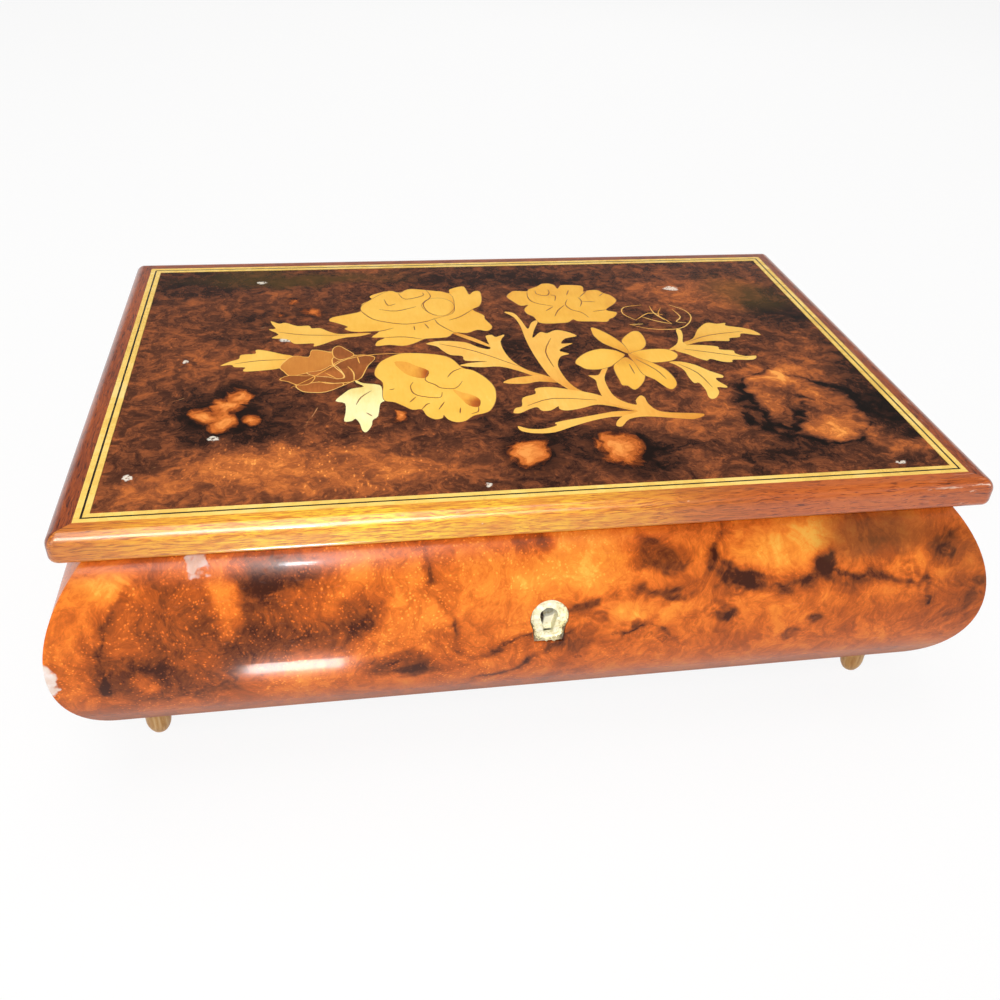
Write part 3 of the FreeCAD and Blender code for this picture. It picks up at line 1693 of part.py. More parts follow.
nodes = {
    "front_wall": front_wall,
    "back_wall": back_wall,
    "left_wall": left_wall,
    "right_wall": right_wall,
    "base_board": base_board,
    "front_veneer": front_veneer,
    "back_veneer": back_veneer,
    "left_veneer": left_veneer,
    "right_veneer": right_veneer,
    "base_felt": base_felt,
    "feet": feet,
    "keyhole_liner": keyhole_liner,
    "lock_case": lock_case,
    "lock_bolt": lock_bolt,
    "lid_catch": lid_catch,
    "divider": divider,
    "cover_ledges": cover_ledges,
    "movement_cover": movement_cover,
    "lining_floor": lining_floor,
    "lining_sides": lining_sides,
    "lid_board": lid_board,
    "lid_lip_front": lid_lips[0],
    "lid_lip_left": lid_lips[1],
    "lid_lip_right": lid_lips[2],
    "lid_lip_back": lid_lips[3],
    "strings_light": strings_light,
    "string_dark": string_dark,
    "lid_veneer": lid_veneer,
    "marquetry_flowers": marquetry_flowers,
    "marquetry_leaves": marquetry_leaves,
    "lid_lining": lid_lining,
    "hinge_leaves_case": hinge_leaves_case,
    "hinge_leaves_lid": hinge_leaves_lid,
    "hinge_pins": hinge_pins,
    "hinge_screws_case": hinge_screws_case,
    "hinge_screws_lid": hinge_screws_lid,
    "bedplate": bedplate,
    "bedplate_screws": bedplate_screws,
    "winding_arbor": winding_arbor,
    "winding_key": winding_key,
    "spring_barrel": spring_barrel,
    "barrel_cap": barrel_cap,
    "mainspring": mainspring,
    "cylinder_shell": cylinder_shell,
    "cylinder_arbor": cylinder_arbor,
    "cylinder_pins": cylinder_pins,
    "drive_pinion": drive_pinion,
    "train_gear": train_gear,
    "comb": comb,
    "comb_base": comb_base,
    "comb_screws": comb_screws,
    "front_bearing": front_bearing,
    "back_bearing": back_bearing,
    "governor_arbor": governor_arbor,
    "governor_pinion": governor_pinion,
    "worm_wheel": worm_wheel,
    "worm_shaft": worm_shaft,
    "fan": fan,
    "governor_frame": governor_frame,
    "stop_rod": stop_rod,
}

doc.removeObject("Scratch")
doc.recompute()
for item in doc.Objects:
    if "Invalid" in item.State or "Error" in item.State:
        raise RuntimeError(f"{item.Label} failed: {item.State}")
os.makedirs("parts", exist_ok=True)
for name, item in nodes.items():
    item.Label = name
    if item.Shape.isNull() or not item.Shape.isValid():
        raise RuntimeError(f"{name} has no valid shape")
    item.Shape.exportStep(f"parts/{name}.step")
print(f"{len(nodes)} sub-parts written")
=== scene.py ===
import math
import random

import bmesh
import bpy
from mathutils import Euler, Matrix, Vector, noise
from mathutils.geometry import interpolate_bezier


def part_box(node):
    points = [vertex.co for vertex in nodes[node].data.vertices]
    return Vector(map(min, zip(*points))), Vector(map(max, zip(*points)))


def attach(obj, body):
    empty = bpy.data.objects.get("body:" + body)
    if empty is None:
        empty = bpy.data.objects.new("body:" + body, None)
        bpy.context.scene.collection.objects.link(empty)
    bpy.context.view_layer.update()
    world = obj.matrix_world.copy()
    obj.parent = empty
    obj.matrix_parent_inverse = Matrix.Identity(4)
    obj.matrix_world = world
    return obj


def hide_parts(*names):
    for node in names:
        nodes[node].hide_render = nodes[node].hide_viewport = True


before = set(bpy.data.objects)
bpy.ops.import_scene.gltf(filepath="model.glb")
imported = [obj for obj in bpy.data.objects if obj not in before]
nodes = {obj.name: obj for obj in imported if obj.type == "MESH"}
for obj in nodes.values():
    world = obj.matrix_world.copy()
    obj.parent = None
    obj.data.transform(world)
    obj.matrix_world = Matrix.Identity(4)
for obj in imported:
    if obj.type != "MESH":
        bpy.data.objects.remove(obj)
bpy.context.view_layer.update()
scene = bpy.context.scene
mm = 0.001
print("frame loaded with", len(nodes), "nodes")


def tint(code):  # hex colour to the linear values that shaders take
    parts = [int(code[i:i + 2], 16) / 255 for i in (0, 2, 4)]
    linear = [c / 12.92 if c <= 0.04045 else ((c + 0.055) / 1.055) ** 2.4 for c in parts]
    return (*linear, 1.0)


class Flow:  # a socket that can be used in sums
    def __init__(self, tree, socket=None):
        self.tree = tree
        self.socket = socket

    def node(self, kind, settings=None, inputs=None, out=0):
        made = self.tree.nodes.new("ShaderNode" + kind)
        for name, value in (settings or {}).items():
            if name == "stops":
                ramp = made.color_ramp.elements
                while len(ramp) < len(value):
                    ramp.new(1.0)
                for stop, (spot, colour) in zip(ramp, value):
                    stop.position, stop.color = spot, colour
            else:
                setattr(made, name, value)
        for name, value in (inputs or {}).items():
            if isinstance(value, Flow):
                self.tree.links.new(value.socket, made.inputs[name])
            else:
                made.inputs[name].default_value = value
        return Flow(self.tree, made.outputs[out] if made.outputs else None)

    def math(self, operation, *terms):
        return self.node("Math", {"operation": operation}, dict(enumerate(terms)))

    def __add__(self, other):
        return self.math("ADD", self, other)

    def __radd__(self, other):
        return self.math("ADD", other, self)

    def __sub__(self, other):
        return self.math("SUBTRACT", self, other)

    def __rsub__(self, other):
        return self.math("SUBTRACT", other, self)

    def __mul__(self, other):
        return self.math("MULTIPLY", self, other)

    def __rmul__(self, other):
        return self.math("MULTIPLY", other, self)

    def __truediv__(self, other):
        return self.math("DIVIDE", self, other)

    def __abs__(self):
        return self.math("ABSOLUTE", self)

    def step(self, low, high):  # smooth 0 to 1 between two values
        ends = {"Value": self, "From Min": low, "From Max": high}
        return self.node("MapRange", {"interpolation_type": "SMOOTHSTEP"}, ends)

    def fade(self, low, high):  # smooth 1 to 0 between two values
        return 1.0 - self.step(low, high)

    def grow(self, other):
        return self.math("MAXIMUM", self, other)

    def vector(self, operation, *terms, out=0):
        return self.node("VectorMath", {"operation": operation}, dict(enumerate(terms)), out)

    def stretch(self, x, y, z):
        return self.vector("MULTIPLY", self, (x, y, z))

    def axis(self, letter):
        return self.node("SeparateXYZ", None, {0: self}, "XYZ".index(letter))

    def noise(self, scale, detail=4.0, rough=0.55, out=0):
        look = {"Vector": self, "Scale": scale, "Detail": detail, "Roughness": rough}
        return self.node("TexNoise", None, look, out)

    def cells(self, scale):
        return self.node("TexVoronoi", None, {"Vector": self, "Scale": scale})

    def warp(self, scale, amount, detail=2.0):  # pushes a place about by a soft noise
        push = self.vector("SUBTRACT", self.noise(scale, detail, 0.5, 1), (0.5, 0.5, 0.5))
        return self.vector("ADD", self, self.vector("MULTIPLY", push, (amount,) * 3))

    def blend(self, first, second):  # self is the share of the second colour
        return self.node("Mix", {"data_type": "RGBA"}, {0: self, 6: first, 7: second}, 2)

    def ramp(self, stops):
        return self.node("ValToRGB", {"stops": [(spot, tint(code)) for spot, code in stops]}, {0: self})

    def bump(self, strength, distance):
        return self.node("Bump", None, {"Strength": strength, "Distance": distance, "Height": self})

    def blot(self, centre, size, soft):  # 1 inside an ellipsoid given in millimetres, fading at its edge
        away = self.vector("SUBTRACT", self, tuple(c * mm for c in centre))
        far = self.vector("LENGTH", away.stretch(*[1 / (s * mm) for s in size]), out=1)
        return far.fade(1.0 - soft, 1.0 + soft)

    def fromLine(self, points):  # distance from a line through points given in millimetres
        nearest = None
        for first, last in zip(points, points[1:]):
            start, run = Vector(first) * mm, (Vector(last) - Vector(first)) * mm
            away = self.vector("SUBTRACT", self, tuple(start))
            share = self.vector("DOT_PRODUCT", away, tuple(run / run.length_squared), out=1)
            share = self.node("Clamp", None, {0: share})
            foot = self.node("VectorMath", {"operation": "SCALE"}, {0: tuple(run), "Scale": share})
            far = self.vector("LENGTH", self.vector("SUBTRACT", away, foot), out=1)
            nearest = far if nearest is None else self.math("MINIMUM", nearest, far)
        return nearest / mm


def newFinish(name, build, **constants):
    made = bpy.data.materials.new(name)
    made.use_nodes = True
    shader = made.node_tree.nodes["Principled BSDF"]
    for socket, value in constants.items():
        shader.inputs[socket.replace("_", " ")].default_value = value
    flow = Flow(made.node_tree)
    place = flow.node("TexCoord", None, None, 3)
    for socket, value in build(place).items():
        made.node_tree.links.new(value.socket, shader.inputs[socket.replace("_", " ")])
    return made


def dress(finish, *names):
    for name in names:
        for slot in nodes[name].material_slots:
            slot.material = finish


# burl veneer of the case: clouds, dark veins with soft borders, eyes and flecks, and some painted reflection
# places are in millimetres on the front
caseFigure = {
    # x and z, half width and height, amount; the dark patches at (-64, 64) and (-37, 37) are painted
    # reflection, the rest is the burl's own figure
    "darkCloudsAndReflections": [
        ((-88, 48), (19, 14), 0.32), ((-66, 54), (14, 11), 0.27), ((-64, 64), (13, 4), 0.26),
        ((-46, 54), (5, 6), 0.3), ((-54, 48), (10, 5), 0.24), ((-37, 37), (10, 4.2), 0.4),
        ((-101, 37), (10, 7), 0.18), ((-3.5, 66.2), (4, 1.8), 0.3), ((28, 62), (7.5, 2.8), 0.36),
        ((74, 58.5), (2.4, 4.2), 0.32), ((47, 45.8), (3, 1.4), 0.34), ((72, 42), (2.8, 1.7), 0.34),
        ((67, 37), (3.4, 1.3), 0.24), ((23, 46), (1.2, 1.5), 0.3), ((112, 42), (9, 13), 0.16),
        ((-114, 48), (8, 15), 0.1), ((107, 60), (5, 4), 0.26), ((75, 53), (12, 3), 0.12),
        ((4, 42), (12, 4), 0.16), ((20, 36), (26, 7), 0.1), ((84, 40), (16, 6), 0.08)],
    "brightClouds": [
        ((-104.5, 64), (7, 4.5), 0.26), ((-78, 58), (3, 7), 0.3), ((-50, 62.5), (5, 4), 0.16),
        ((-37, 53), (9, 9), 0.12), ((-14, 56), (12, 9), 0.1), ((8, 61), (13, 6), 0.16),
        ((60, 61.5), (11, 5), 0.2), ((71.5, 65), (5, 3), 0.18), ((30, 49.8), (13, 3), 0.2),
        ((-99, 37.5), (3, 3), 0.3)],
    # half width of the dark line, of its soft border, and the points
    "veins": [
        (0.5, 2.6, [
            (-30, 64.6), (-30, 57.7), (-24.9, 51.6), (-23.7, 44.8), (-21.9, 38.9), (-18.9, 37.9),
            (-8.1, 43.2), (-3.9, 44.4)]),
        (0.7, 4.0, [(-97.9, 65.1), (-103.6, 58.3), (-108.2, 45.3), (-108.4, 36.2)]),
        (0.8, 3.2, [
            (18.3, 54), (26.6, 53), (33.3, 53.7), (38.4, 56.2), (44.3, 57.2), (50.3, 55.8), (53, 54.2)]),
        (0.5, 3.0, [
            (44.6, 65), (44.3, 60.3), (50.3, 57.7), (58.1, 56), (62.8, 52.4), (71.4, 54.7), (73.9, 60.7)]),
        (0.5, 2.8, [(76.6, 56.8), (84.7, 55.9), (91.3, 52.9), (98.8, 51.5), (101.3, 53.5), (104, 44.8)]),
        (0.4, 2.0, [(-19.1, 27.7), (-7.1, 31.1), (0.1, 38.5), (7.8, 46.4), (15.2, 48.1)]),
        (0.35, 1.6, [(20.7, 43.1), (24.8, 44.3), (31, 42.6), (37.3, 36.5)]),
        (0.9, 2.4, [(6, 49.8), (12.5, 52.3)])],
    # x, z and radius
    "eyes": [
        (48.7, 53.9, 2.6), (44.4, 49.4, 3.0), (26.6, 40.2, 1.0), (31, 39.7, 1.0), (17.8, 42.9, 0.8),
        (97.8, 55.8, 2.4), (107.3, 60.3, 2.4), (8.6, 34.8, 1.2)],
    "tones": [
        (0.0, "261008"), (0.15, "4e2412"), (0.3, "80401c"), (0.48, "bc5a20"), (0.64, "e87628"),
        (0.84, "ff9a38"), (1.0, "ffbc50")],
    "olive": "64442a", "paintedTableReflection": "8c4408", "bareWood": "e8ccb8", "rawWood": "f8ece8", "frontFrom": -0.074,
    "frontTo": -0.06,
    # centre and half sizes, and for worn places the share of lacquer that is gone
    "smoke": ((88, 0, 64), (15, 50, 4.5)),
    "worn": [((-121.6, -82, 41), (2.8, 6, 6), 1.0), ((-83.7, -75, 67.5), (2.6, 8, 2.8), 0.8)],
}


def caseBurl(place):
    f = caseFigure
    bent = place.warp(40, 0.026).warp(140, 0.007)
    fuzz = place.warp(110, 0.008).warp(330, 0.003)
    flat = fuzz.stretch(1, 0, 1)  # the front seen straight on
    front = place.axis("Y").fade(f["frontFrom"], f["frontTo"])
    clouds = bent.noise(26, 5, 0.6)
    tone = 0.60 + 0.80 * (clouds - 0.5)
    # dark patches, two of them painted reflection, and bright patches laid over the front
    for kind, sign in (("darkCloudsAndReflections", -1), ("brightClouds", 1)):
        laid = 0.0
        for (x, z), (wide, tall), amount in f[kind]:
            laid = laid + sign * amount * flat.blot((x, 0, z), (wide, 50, tall), 0.6)
        tone = tone + laid * front
    curl = place.warp(70, 0.024).warp(260, 0.006)
    flames = curl.stretch(1, 1, 0.6).noise(170, 6, 0.7).step(0.32, 0.68)
    tone = tone + 0.24 * (flames - 0.5)
    tone = tone + 0.26 * (bent.stretch(1, 1, 0.3).noise(900, 4, 0.65) - 0.5)  # fibres
    spread = 0.35 + 1.3 * place.noise(90, 3)  # veins swell and thin out
    broken = 0.30 + 0.75 * place.noise(130, 3).step(0.34, 0.58)
    for core, border, points in f["veins"]:
        near = flat.fromLine([(x, 0, z) for x, z in points]) / spread
        line = 0.17 * near.fade(core * 0.4, core * 2.4)
        shadow = 0.20 * near.fade(0.0, border * 1.4)
        tone = tone - (line + shadow) * front * broken
    stray = abs(clouds - 0.42).fade(0.004, 0.030) * place.noise(40, 2).step(0.45, 0.62)
    tone = tone - 0.20 * stray * (1.0 - 0.7 * front)
    for x, z, size in f["eyes"]:
        away = flat.vector("SUBTRACT", flat, (x * mm, 0, z * mm))
        far = flat.vector("LENGTH", away.stretch(1, 0, 1.25), out=1) / (size * mm)
        ring = 0.15 * abs(far - 0.85).fade(0.05, 0.55) + 0.16 * far.fade(0.10, 0.45)
        tone = tone - ring * front
    dots = place.warp(80, 0.006).cells(1050).fade(0.10, 0.40) * place.noise(50, 3).step(0.34, 0.54)
    dots = dots * (1.0 - 0.75 * place.axis("X").step(-0.020, 0.040)) * place.noise(700, 2).step(0.36, 0.56)
    tone = tone.grow(0.10) + 0.30 * dots
    colour = tone.ramp(f["tones"])
    smoky = front * flat.blot(*f["smoke"], 0.6)
    smoky = smoky.grow(0.6 * place.axis("X").step(0.098, 0.120) * place.noise(30, 3).step(0.36, 0.58))
    colour = (0.65 * smoky).blend(colour, tint(f["olive"]))
    # painted reflection of the darker table: the bottom of the case is tinted towards a dark orange-brown
    low = 0.8 * place.axis("Z").fade(0.016, 0.038)
    colour = low.blend(colour, tint(f["paintedTableReflection"]))
    dull = place.axis("Z").fade(0.012, 0.027)  # less of the floor's glare near the bottom
    ragged = place.warp(320, 0.006)
    worn = 0.0
    for centre, size, amount in f["worn"]:
        worn = (amount * ragged.blot(centre, size, 0.15)).grow(worn)
    colour = worn.blend(colour, place.noise(400, 3).ramp([(0.3, f["bareWood"]), (0.7, f["rawWood"])]))
    scratch = place.stretch(0.15, 0.15, 1).noise(1500, 2).step(0.66, 0.72)
    scratch = scratch * place.noise(25, 2).step(0.5, 0.65)
    return {
        "Base_Color": colour,
        "Roughness": 0.22 + 0.16 * scratch + 0.4 * worn + 0.05 * place.noise(60, 2) + 0.45 * dull,
        "Normal": (0.5 * place.noise(30, 2) - 1.0 * worn).bump(0.2, 0.0006),
    }


caseVeneer = newFinish("caseBurl", caseBurl, Specular_IOR_Level=0.12, Coat_Weight=0.06, Coat_Roughness=0.07)
dress(caseVeneer, "front_veneer", "back_veneer", "left_veneer", "right_veneer")
print("case veneer done")

# lid burl: dark with reddish mottling, orange knots and one large figured eye
# places are in millimetres on the lid
lidFigure = {
    # x and y, half width and depth, strength
    "knots": [
        ((-79, -23.5), (5.6, 5.2), 1.0), ((-76, -18.5), (4.6, 5.4), 1.0), ((-83.6, -28), (4.4, 5.2), 1.0),
        ((-79.3, -31.5), (4.2, 6.4), 1.0), ((-71.6, -31.6), (2.6, 3.4), 1.0),
        ((-1.5, -54.5), (5.4, 6.8), 1.0), ((22.5, -54), (6.6, 9), 1.0), ((17, -50), (2.4, 4), 0.7),
        ((-61, 43), (5, 5), 0.45), ((-56, 35), (6, 5), 0.5), ((-66, 33.5), (4, 4), 0.4),
        ((-34, -33), (3, 4.5), 0.7)],
    "lightAreas": [
        ((-56, -58), (20, 13), 0.28), ((-78, -51), (13, 8), 0.2), ((-93, -60), (11, 6), 0.22),
        ((-20, -58), (18, 8), 0.2), ((75, 40), (20, 12), 0.18), ((87, 48), (10, 8), 0.12),
        ((76, -17), (14, 5), 0.2), ((98, -2), (9, 14), 0.1), ((85, -48), (12, 8), 0.4),
        ((79, -20), (10, 6), 0.3), ((71, -33), (5, 7), 0.28), ((102, -60), (10, 3), 0.26),
        ((44, -62), (7, 4), 0.16), ((57, -34), (6, 10), 0.2), ((36, -45), (14, 6), 0.16),
        ((-90, 2), (14, 20), 0.1), ((88, -33), (7, 6), 0.24)],
    "darkAreas": [
        ((-78, -27), (15, 16), 0.24), ((-85, 60), (24, 9), 0.22), ((104, -44), (8, 14), 0.34),
        ((106, -10), (8, 14), 0.22), ((98, 28), (9, 14), 0.32), ((10, 0), (28, 14), 0.14),
        ((10, 58), (34, 6), 0.16), ((2, -55), (11, 12), 0.18), ((30, -57), (9, 12), 0.2),
        ((29.4, -56), (2, 3), 0.4), ((75, -42), (7, 5), 0.2), ((68, -62), (20, 5), 0.14)],
    # half width of the line, of its soft border, and the points
    "eyeLines": [
        (0.5, 4.0, [
            (68.7, -21), (79.5, -13.8), (86.8, -20.5), (96, -29), (95.5, -43.5), (88.5, -55.5),
            (79.4, -57.5), (68.9, -52.5), (61.6, -44.3), (63.5, -32.1), (68.7, -21)]),
        (0.6, 2.6, [
            (67, -25.7), (65.9, -35.8), (68, -44.7), (71.6, -49.3), (78, -38.6), (84, -33.7),
            (81.5, -30.7)]),
        (0.5, 2.0, [(29, -48), (28, -56), (31, -64)])],
    "scratches": [
        [(-98.3, -23.6), (-89.4, -17.4)], [(-54.6, -24.7), (-57.6, -33), (-59.3, -41.6)],
        [(-100.2, -56), (-93.8, -51.8)], [(-72, 24), (-63, 27)]],
    # x and y, half width and depth
    "chips": [
        (-81.2, -39.9, 1.5, 0.9), (-72.1, 59.4, 1.5, 1.2), (-14.4, -67, 0.9, 0.8), (66.8, 46.5, 2.6, 1.6),
        (93.5, -67, 1.3, 0.6), (-100, -56, 1.0, 1.4), (-62.5, 16, 3.0, 2.0), (-91.8, 3.4, 0.7, 0.9)],
    "olive": [((92, 40), (12, 12)), ((-60, 63), (30, 5))],
    "tones": [
        (0.0, "140a06"), (0.18, "331b12"), (0.36, "5e3420"), (0.52, "8c4c2a"), (0.68, "b86430"),
        (0.84, "dc7f3a"), (1.0, "ffa850")],
    "knotTones": [(0.0, "5c2a10"), (0.25, "a8521e"), (0.55, "d87630"), (0.9, "f29a4a")],
    "knotRim": "1e0e08", "oliveTone": "5c4416", "speck": "f0a866", "chip": "f4ead8",
    # centre and half sizes of the patch with most gold flecks
    "dust": ((-56, -56, 0), (34, 20, 50)),
}


def lidBurl(place):
    f = lidFigure
    flat = place.stretch(1, 1, 0)
    bent = flat.warp(42, 0.022).warp(130, 0.008)
    fuzz = flat.warp(110, 0.008).warp(320, 0.003)
    tone = 0.35 + 0.70 * (bent.noise(34, 6, 0.62) - 0.5)
    mottle = flat.warp(110, 0.012).warp(320, 0.003).noise(210, 6, 0.75)
    tone = tone + 0.30 * (mottle.step(0.36, 0.66) - 0.4)
    tone = tone + 0.26 * (flat.warp(60, 0.01).stretch(0.6, 1, 0).noise(1000, 4, 0.65) - 0.5)
    for kind, sign in (("lightAreas", 1), ("darkAreas", -1)):
        for (x, y), (wide, deep), amount in f[kind]:
            tone = tone + sign * amount * fuzz.blot((x, y, 0), (wide, deep, 50), 0.65)
    for core, border, points in f["eyeLines"]:
        near = fuzz.fromLine([(x, y, 0) for x, y in points]) / (0.4 + 1.2 * flat.noise(80, 3))
        line = 0.22 * near.fade(core * 0.4, core * 2.6)
        shadow = 0.24 * near.fade(0.0, border * 1.2)
        tone = tone - (line + shadow) * (0.4 + 0.8 * flat.noise(150, 3).step(0.3, 0.6))
    dashes = flat.warp(40, 0.01).stretch(1, 0.45, 0).cells(900).fade(0.08, 0.36)
    dashes = dashes * flat.noise(50, 3).step(0.36, 0.56) * flat.noise(900, 2).step(0.38, 0.58)
    dashes = dashes * (0.4 + 0.6 * flat.blot(*f["dust"], 0.5))
    tone = tone + 0.34 * dashes
    colour = tone.ramp(f["tones"])
    for (x, y), (wide, deep) in f["olive"]:
        colour = (0.55 * bent.blot((x, y, 0), (wide, deep, 50), 0.7)).blend(colour, tint(f["oliveTone"]))
    lumps = None  # height over the knots, 1 in a middle and 0 at a rim
    for (x, y), (wide, deep), strength in f["knots"]:
        away = fuzz.vector("SUBTRACT", fuzz, (x * mm, y * mm, 0))
        far = away.vector("LENGTH", away.stretch(1 / (wide * mm), 1 / (deep * mm), 0), out=1)
        lumps = strength - far if lumps is None else lumps.grow(strength - far)
    lumps = lumps + 0.8 * (mottle - 0.5)
    colour = (0.55 * lumps.step(-0.70, 0.0)).blend(colour, tint(f["knotRim"]))
    wave = lumps * 22.0
    rings = 0.06 * wave.math("SINE", wave) + 1.3 * (mottle - 0.5)
    colour = lumps.step(-0.05, 0.30).blend(colour, (lumps + rings).ramp(f["knotTones"]))
    marks = 0.0
    for points in f["scratches"]:
        near = flat.warp(60, 0.003).fromLine([(x, y, 0) for x, y in points])
        marks = near.fade(0.03, 0.22) + marks
    marks = marks * flat.noise(300, 2).step(0.36, 0.6)
    colour = (0.55 * marks).blend(colour, tint(f["speck"]))
    chipped = 0.0
    jagged = flat.warp(500, 0.0025)
    for x, y, wide, deep in f["chips"]:
        chipped = jagged.blot((x, y, 0), (wide, deep, 50), 0.2) + chipped
    chipped = chipped * flat.noise(1100, 2).step(0.34, 0.5)
    colour = (0.8 * chipped).blend(colour, tint(f["chip"]))
    return {
        "Base_Color": colour,
        "Roughness": 0.10 + 0.25 * marks + 0.4 * chipped + 0.08 * flat.noise(30, 3),
        "Normal": (0.7 * flat.noise(24, 2) - 0.4 * marks - chipped).bump(0.15, 0.0005),
    }


panelSizes = {"sink": 0.05 * mm, "edge": 0.15 * mm, "edgeSteps": 2, "near": 1e-6}
lidVeneer = newFinish("lidBurl", lidBurl, Specular_IOR_Level=0.15, Coat_Weight=0.06, Coat_Roughness=0.05)


def keep(bm, name, body, *finishes, smooth=False):  # turns a bmesh into a piece that rides on a body
    mesh = bpy.data.meshes.new(name)
    for face in bm.faces:
        face.smooth = smooth
    bm.to_mesh(mesh)
    bm.free()
    for finish in finishes:
        mesh.materials.append(finish)
    piece = bpy.data.objects.new(name, mesh)
    scene.collection.objects.link(piece)
    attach(piece, body)
    return piece


def slab(low, high):
    bm = bmesh.new()
    bmesh.ops.create_cube(bm, size=1)
    bmesh.ops.scale(bm, vec=high - low, verts=bm.verts)
    bmesh.ops.translate(bm, vec=(low + high) / 2, verts=bm.verts)
    return bm


low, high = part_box("lid_veneer")
panelTop = high.z - panelSizes["sink"]
bm = slab(low, Vector((high.x, high.y, panelTop)))
topEdges = [e for e in bm.edges if min(v.co.z for v in e.verts) > panelTop - panelSizes["near"]]
bmesh.ops.bevel(
    bm, geom=topEdges, offset=panelSizes["edge"], affect="EDGES", segments=panelSizes["edgeSteps"],
    profile=0.5, material=-1,
)
panel = keep(bm, "lidPanel", "lid", lidVeneer)
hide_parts("lid_veneer")
print("lid panel done")


# stringing and mahogany lip
def boxwood(place):
    grain = place.stretch(0.25, 0.25, 1).noise(900, 4, 0.6)
    tone = 0.5 + 0.45 * (grain - 0.5) + 0.5 * (place.noise(60, 2) - 0.5)
    return {"Base_Color": tone.ramp([(0.0, "c88e38"), (0.5, "f4cc68"), (1.0, "ffecac")]),
            "Roughness": 0.2 + 0.15 * grain}


def ebonised(place):
    return {"Base_Color": place.noise(500, 3).ramp([(0.2, "0a0705"), (0.8, "2b1c12")]),
            "Roughness": 0.2 + 0.2 * place.noise(300, 2)}


lipFigure = {
    "tones": [(0.0, "441606"), (0.25, "7e340e"), (0.5, "bc5a1c"), (0.75, "d8742a"), (1.0, "f09c48")],
    "sunnedAndGlare": "ffd634", "orange": "f6962e", "pale": "f8e4cc", "glowMiddle": -0.04, "glowReach": 0.075,
    "edge": 0.0785, "sideDark": 0.16,
}


def lipWood(along, front):
    def build(place):
        f = lipFigure
        run = (0.07, 1, 1) if along == "X" else (1, 0.07, 1)
        streaks = place.warp(60, 0.003).stretch(*run)
        grain = streaks.noise(2200, 5, 0.75)
        dashes = streaks.stretch(1.6, 1.6, 1.6).noise(1900, 3, 0.6)
        tone = 0.5 + 0.8 * (grain - 0.5) + 0.35 * (place.noise(22, 3) - 0.5)
        tone = tone - 0.35 * dashes.step(0.55, 0.66)
        colour = (tone if front else tone - f["sideDark"]).ramp(f["tones"])
        # partly painted highlight: the orange band and golden patches across the middle of the front lip
        # stand in for glare on the lacquer, over the wood's own sunned colour
        if front:
            off = abs(place.axis("X") - f["glowMiddle"]) / f["glowReach"]
            warm = off.fade(0.3, 1.4) * (0.25 + 0.6 * grain)
            colour = warm.blend(colour, tint(f["orange"]))
            glow = off.fade(0.1, 1.25) * dashes.step(0.64, 0.42) * grain.step(0.34, 0.54)
            glow = glow * (0.25 + 0.75 * place.noise(70, 3).step(0.32, 0.56))
            colour = glow.blend(colour, tint(f["sunnedAndGlare"]))
        ends = place.axis("X").step(0.085, 0.116)
        wear = place.stretch(*run).stretch(4, 4, 1).noise(420, 4, 0.7).step(0.60, 0.66) * ends
        edge = abs(place.axis("Z") - f["edge"]).fade(0.0006, 0.0020)
        nicks = place.noise(160, 4, 0.7).step(0.70, 0.73) * 0.8 * edge
        wear = (wear * (0.25 + 0.75 * edge)).grow(nicks)
        colour = (0.75 * wear).blend(colour, tint(f["pale"]))
        return {"Base_Color": colour, "Roughness": 0.26 + 0.10 * grain + 0.3 * wear,
                "Normal": (0.5 * grain - 0.5 * wear).bump(0.25, 0.0004)}

    return build


lacquer = {"Specular_IOR_Level": 0.25, "Coat_Weight": 0.12, "Coat_Roughness": 0.07}
lipLacquer = {"Specular_IOR_Level": 0.5, "Coat_Weight": 0.5, "Coat_Roughness": 0.12}
dress(newFinish("boxwoodString", boxwood, **lacquer), "strings_light")
dress(newFinish("ebonisedString", ebonised, **lacquer), "string_dark")
dress(newFinish("lipFront", lipWood("X", True), **lipLacquer), "lid_lip_front")
dress(newFinish("lipBack", lipWood("X", False), **lipLacquer), "lid_lip_back")
dress(newFinish("lipSides", lipWood("Y", False), **lipLacquer), "lid_lip_left", "lid_lip_right")
print("stringing and lip done")

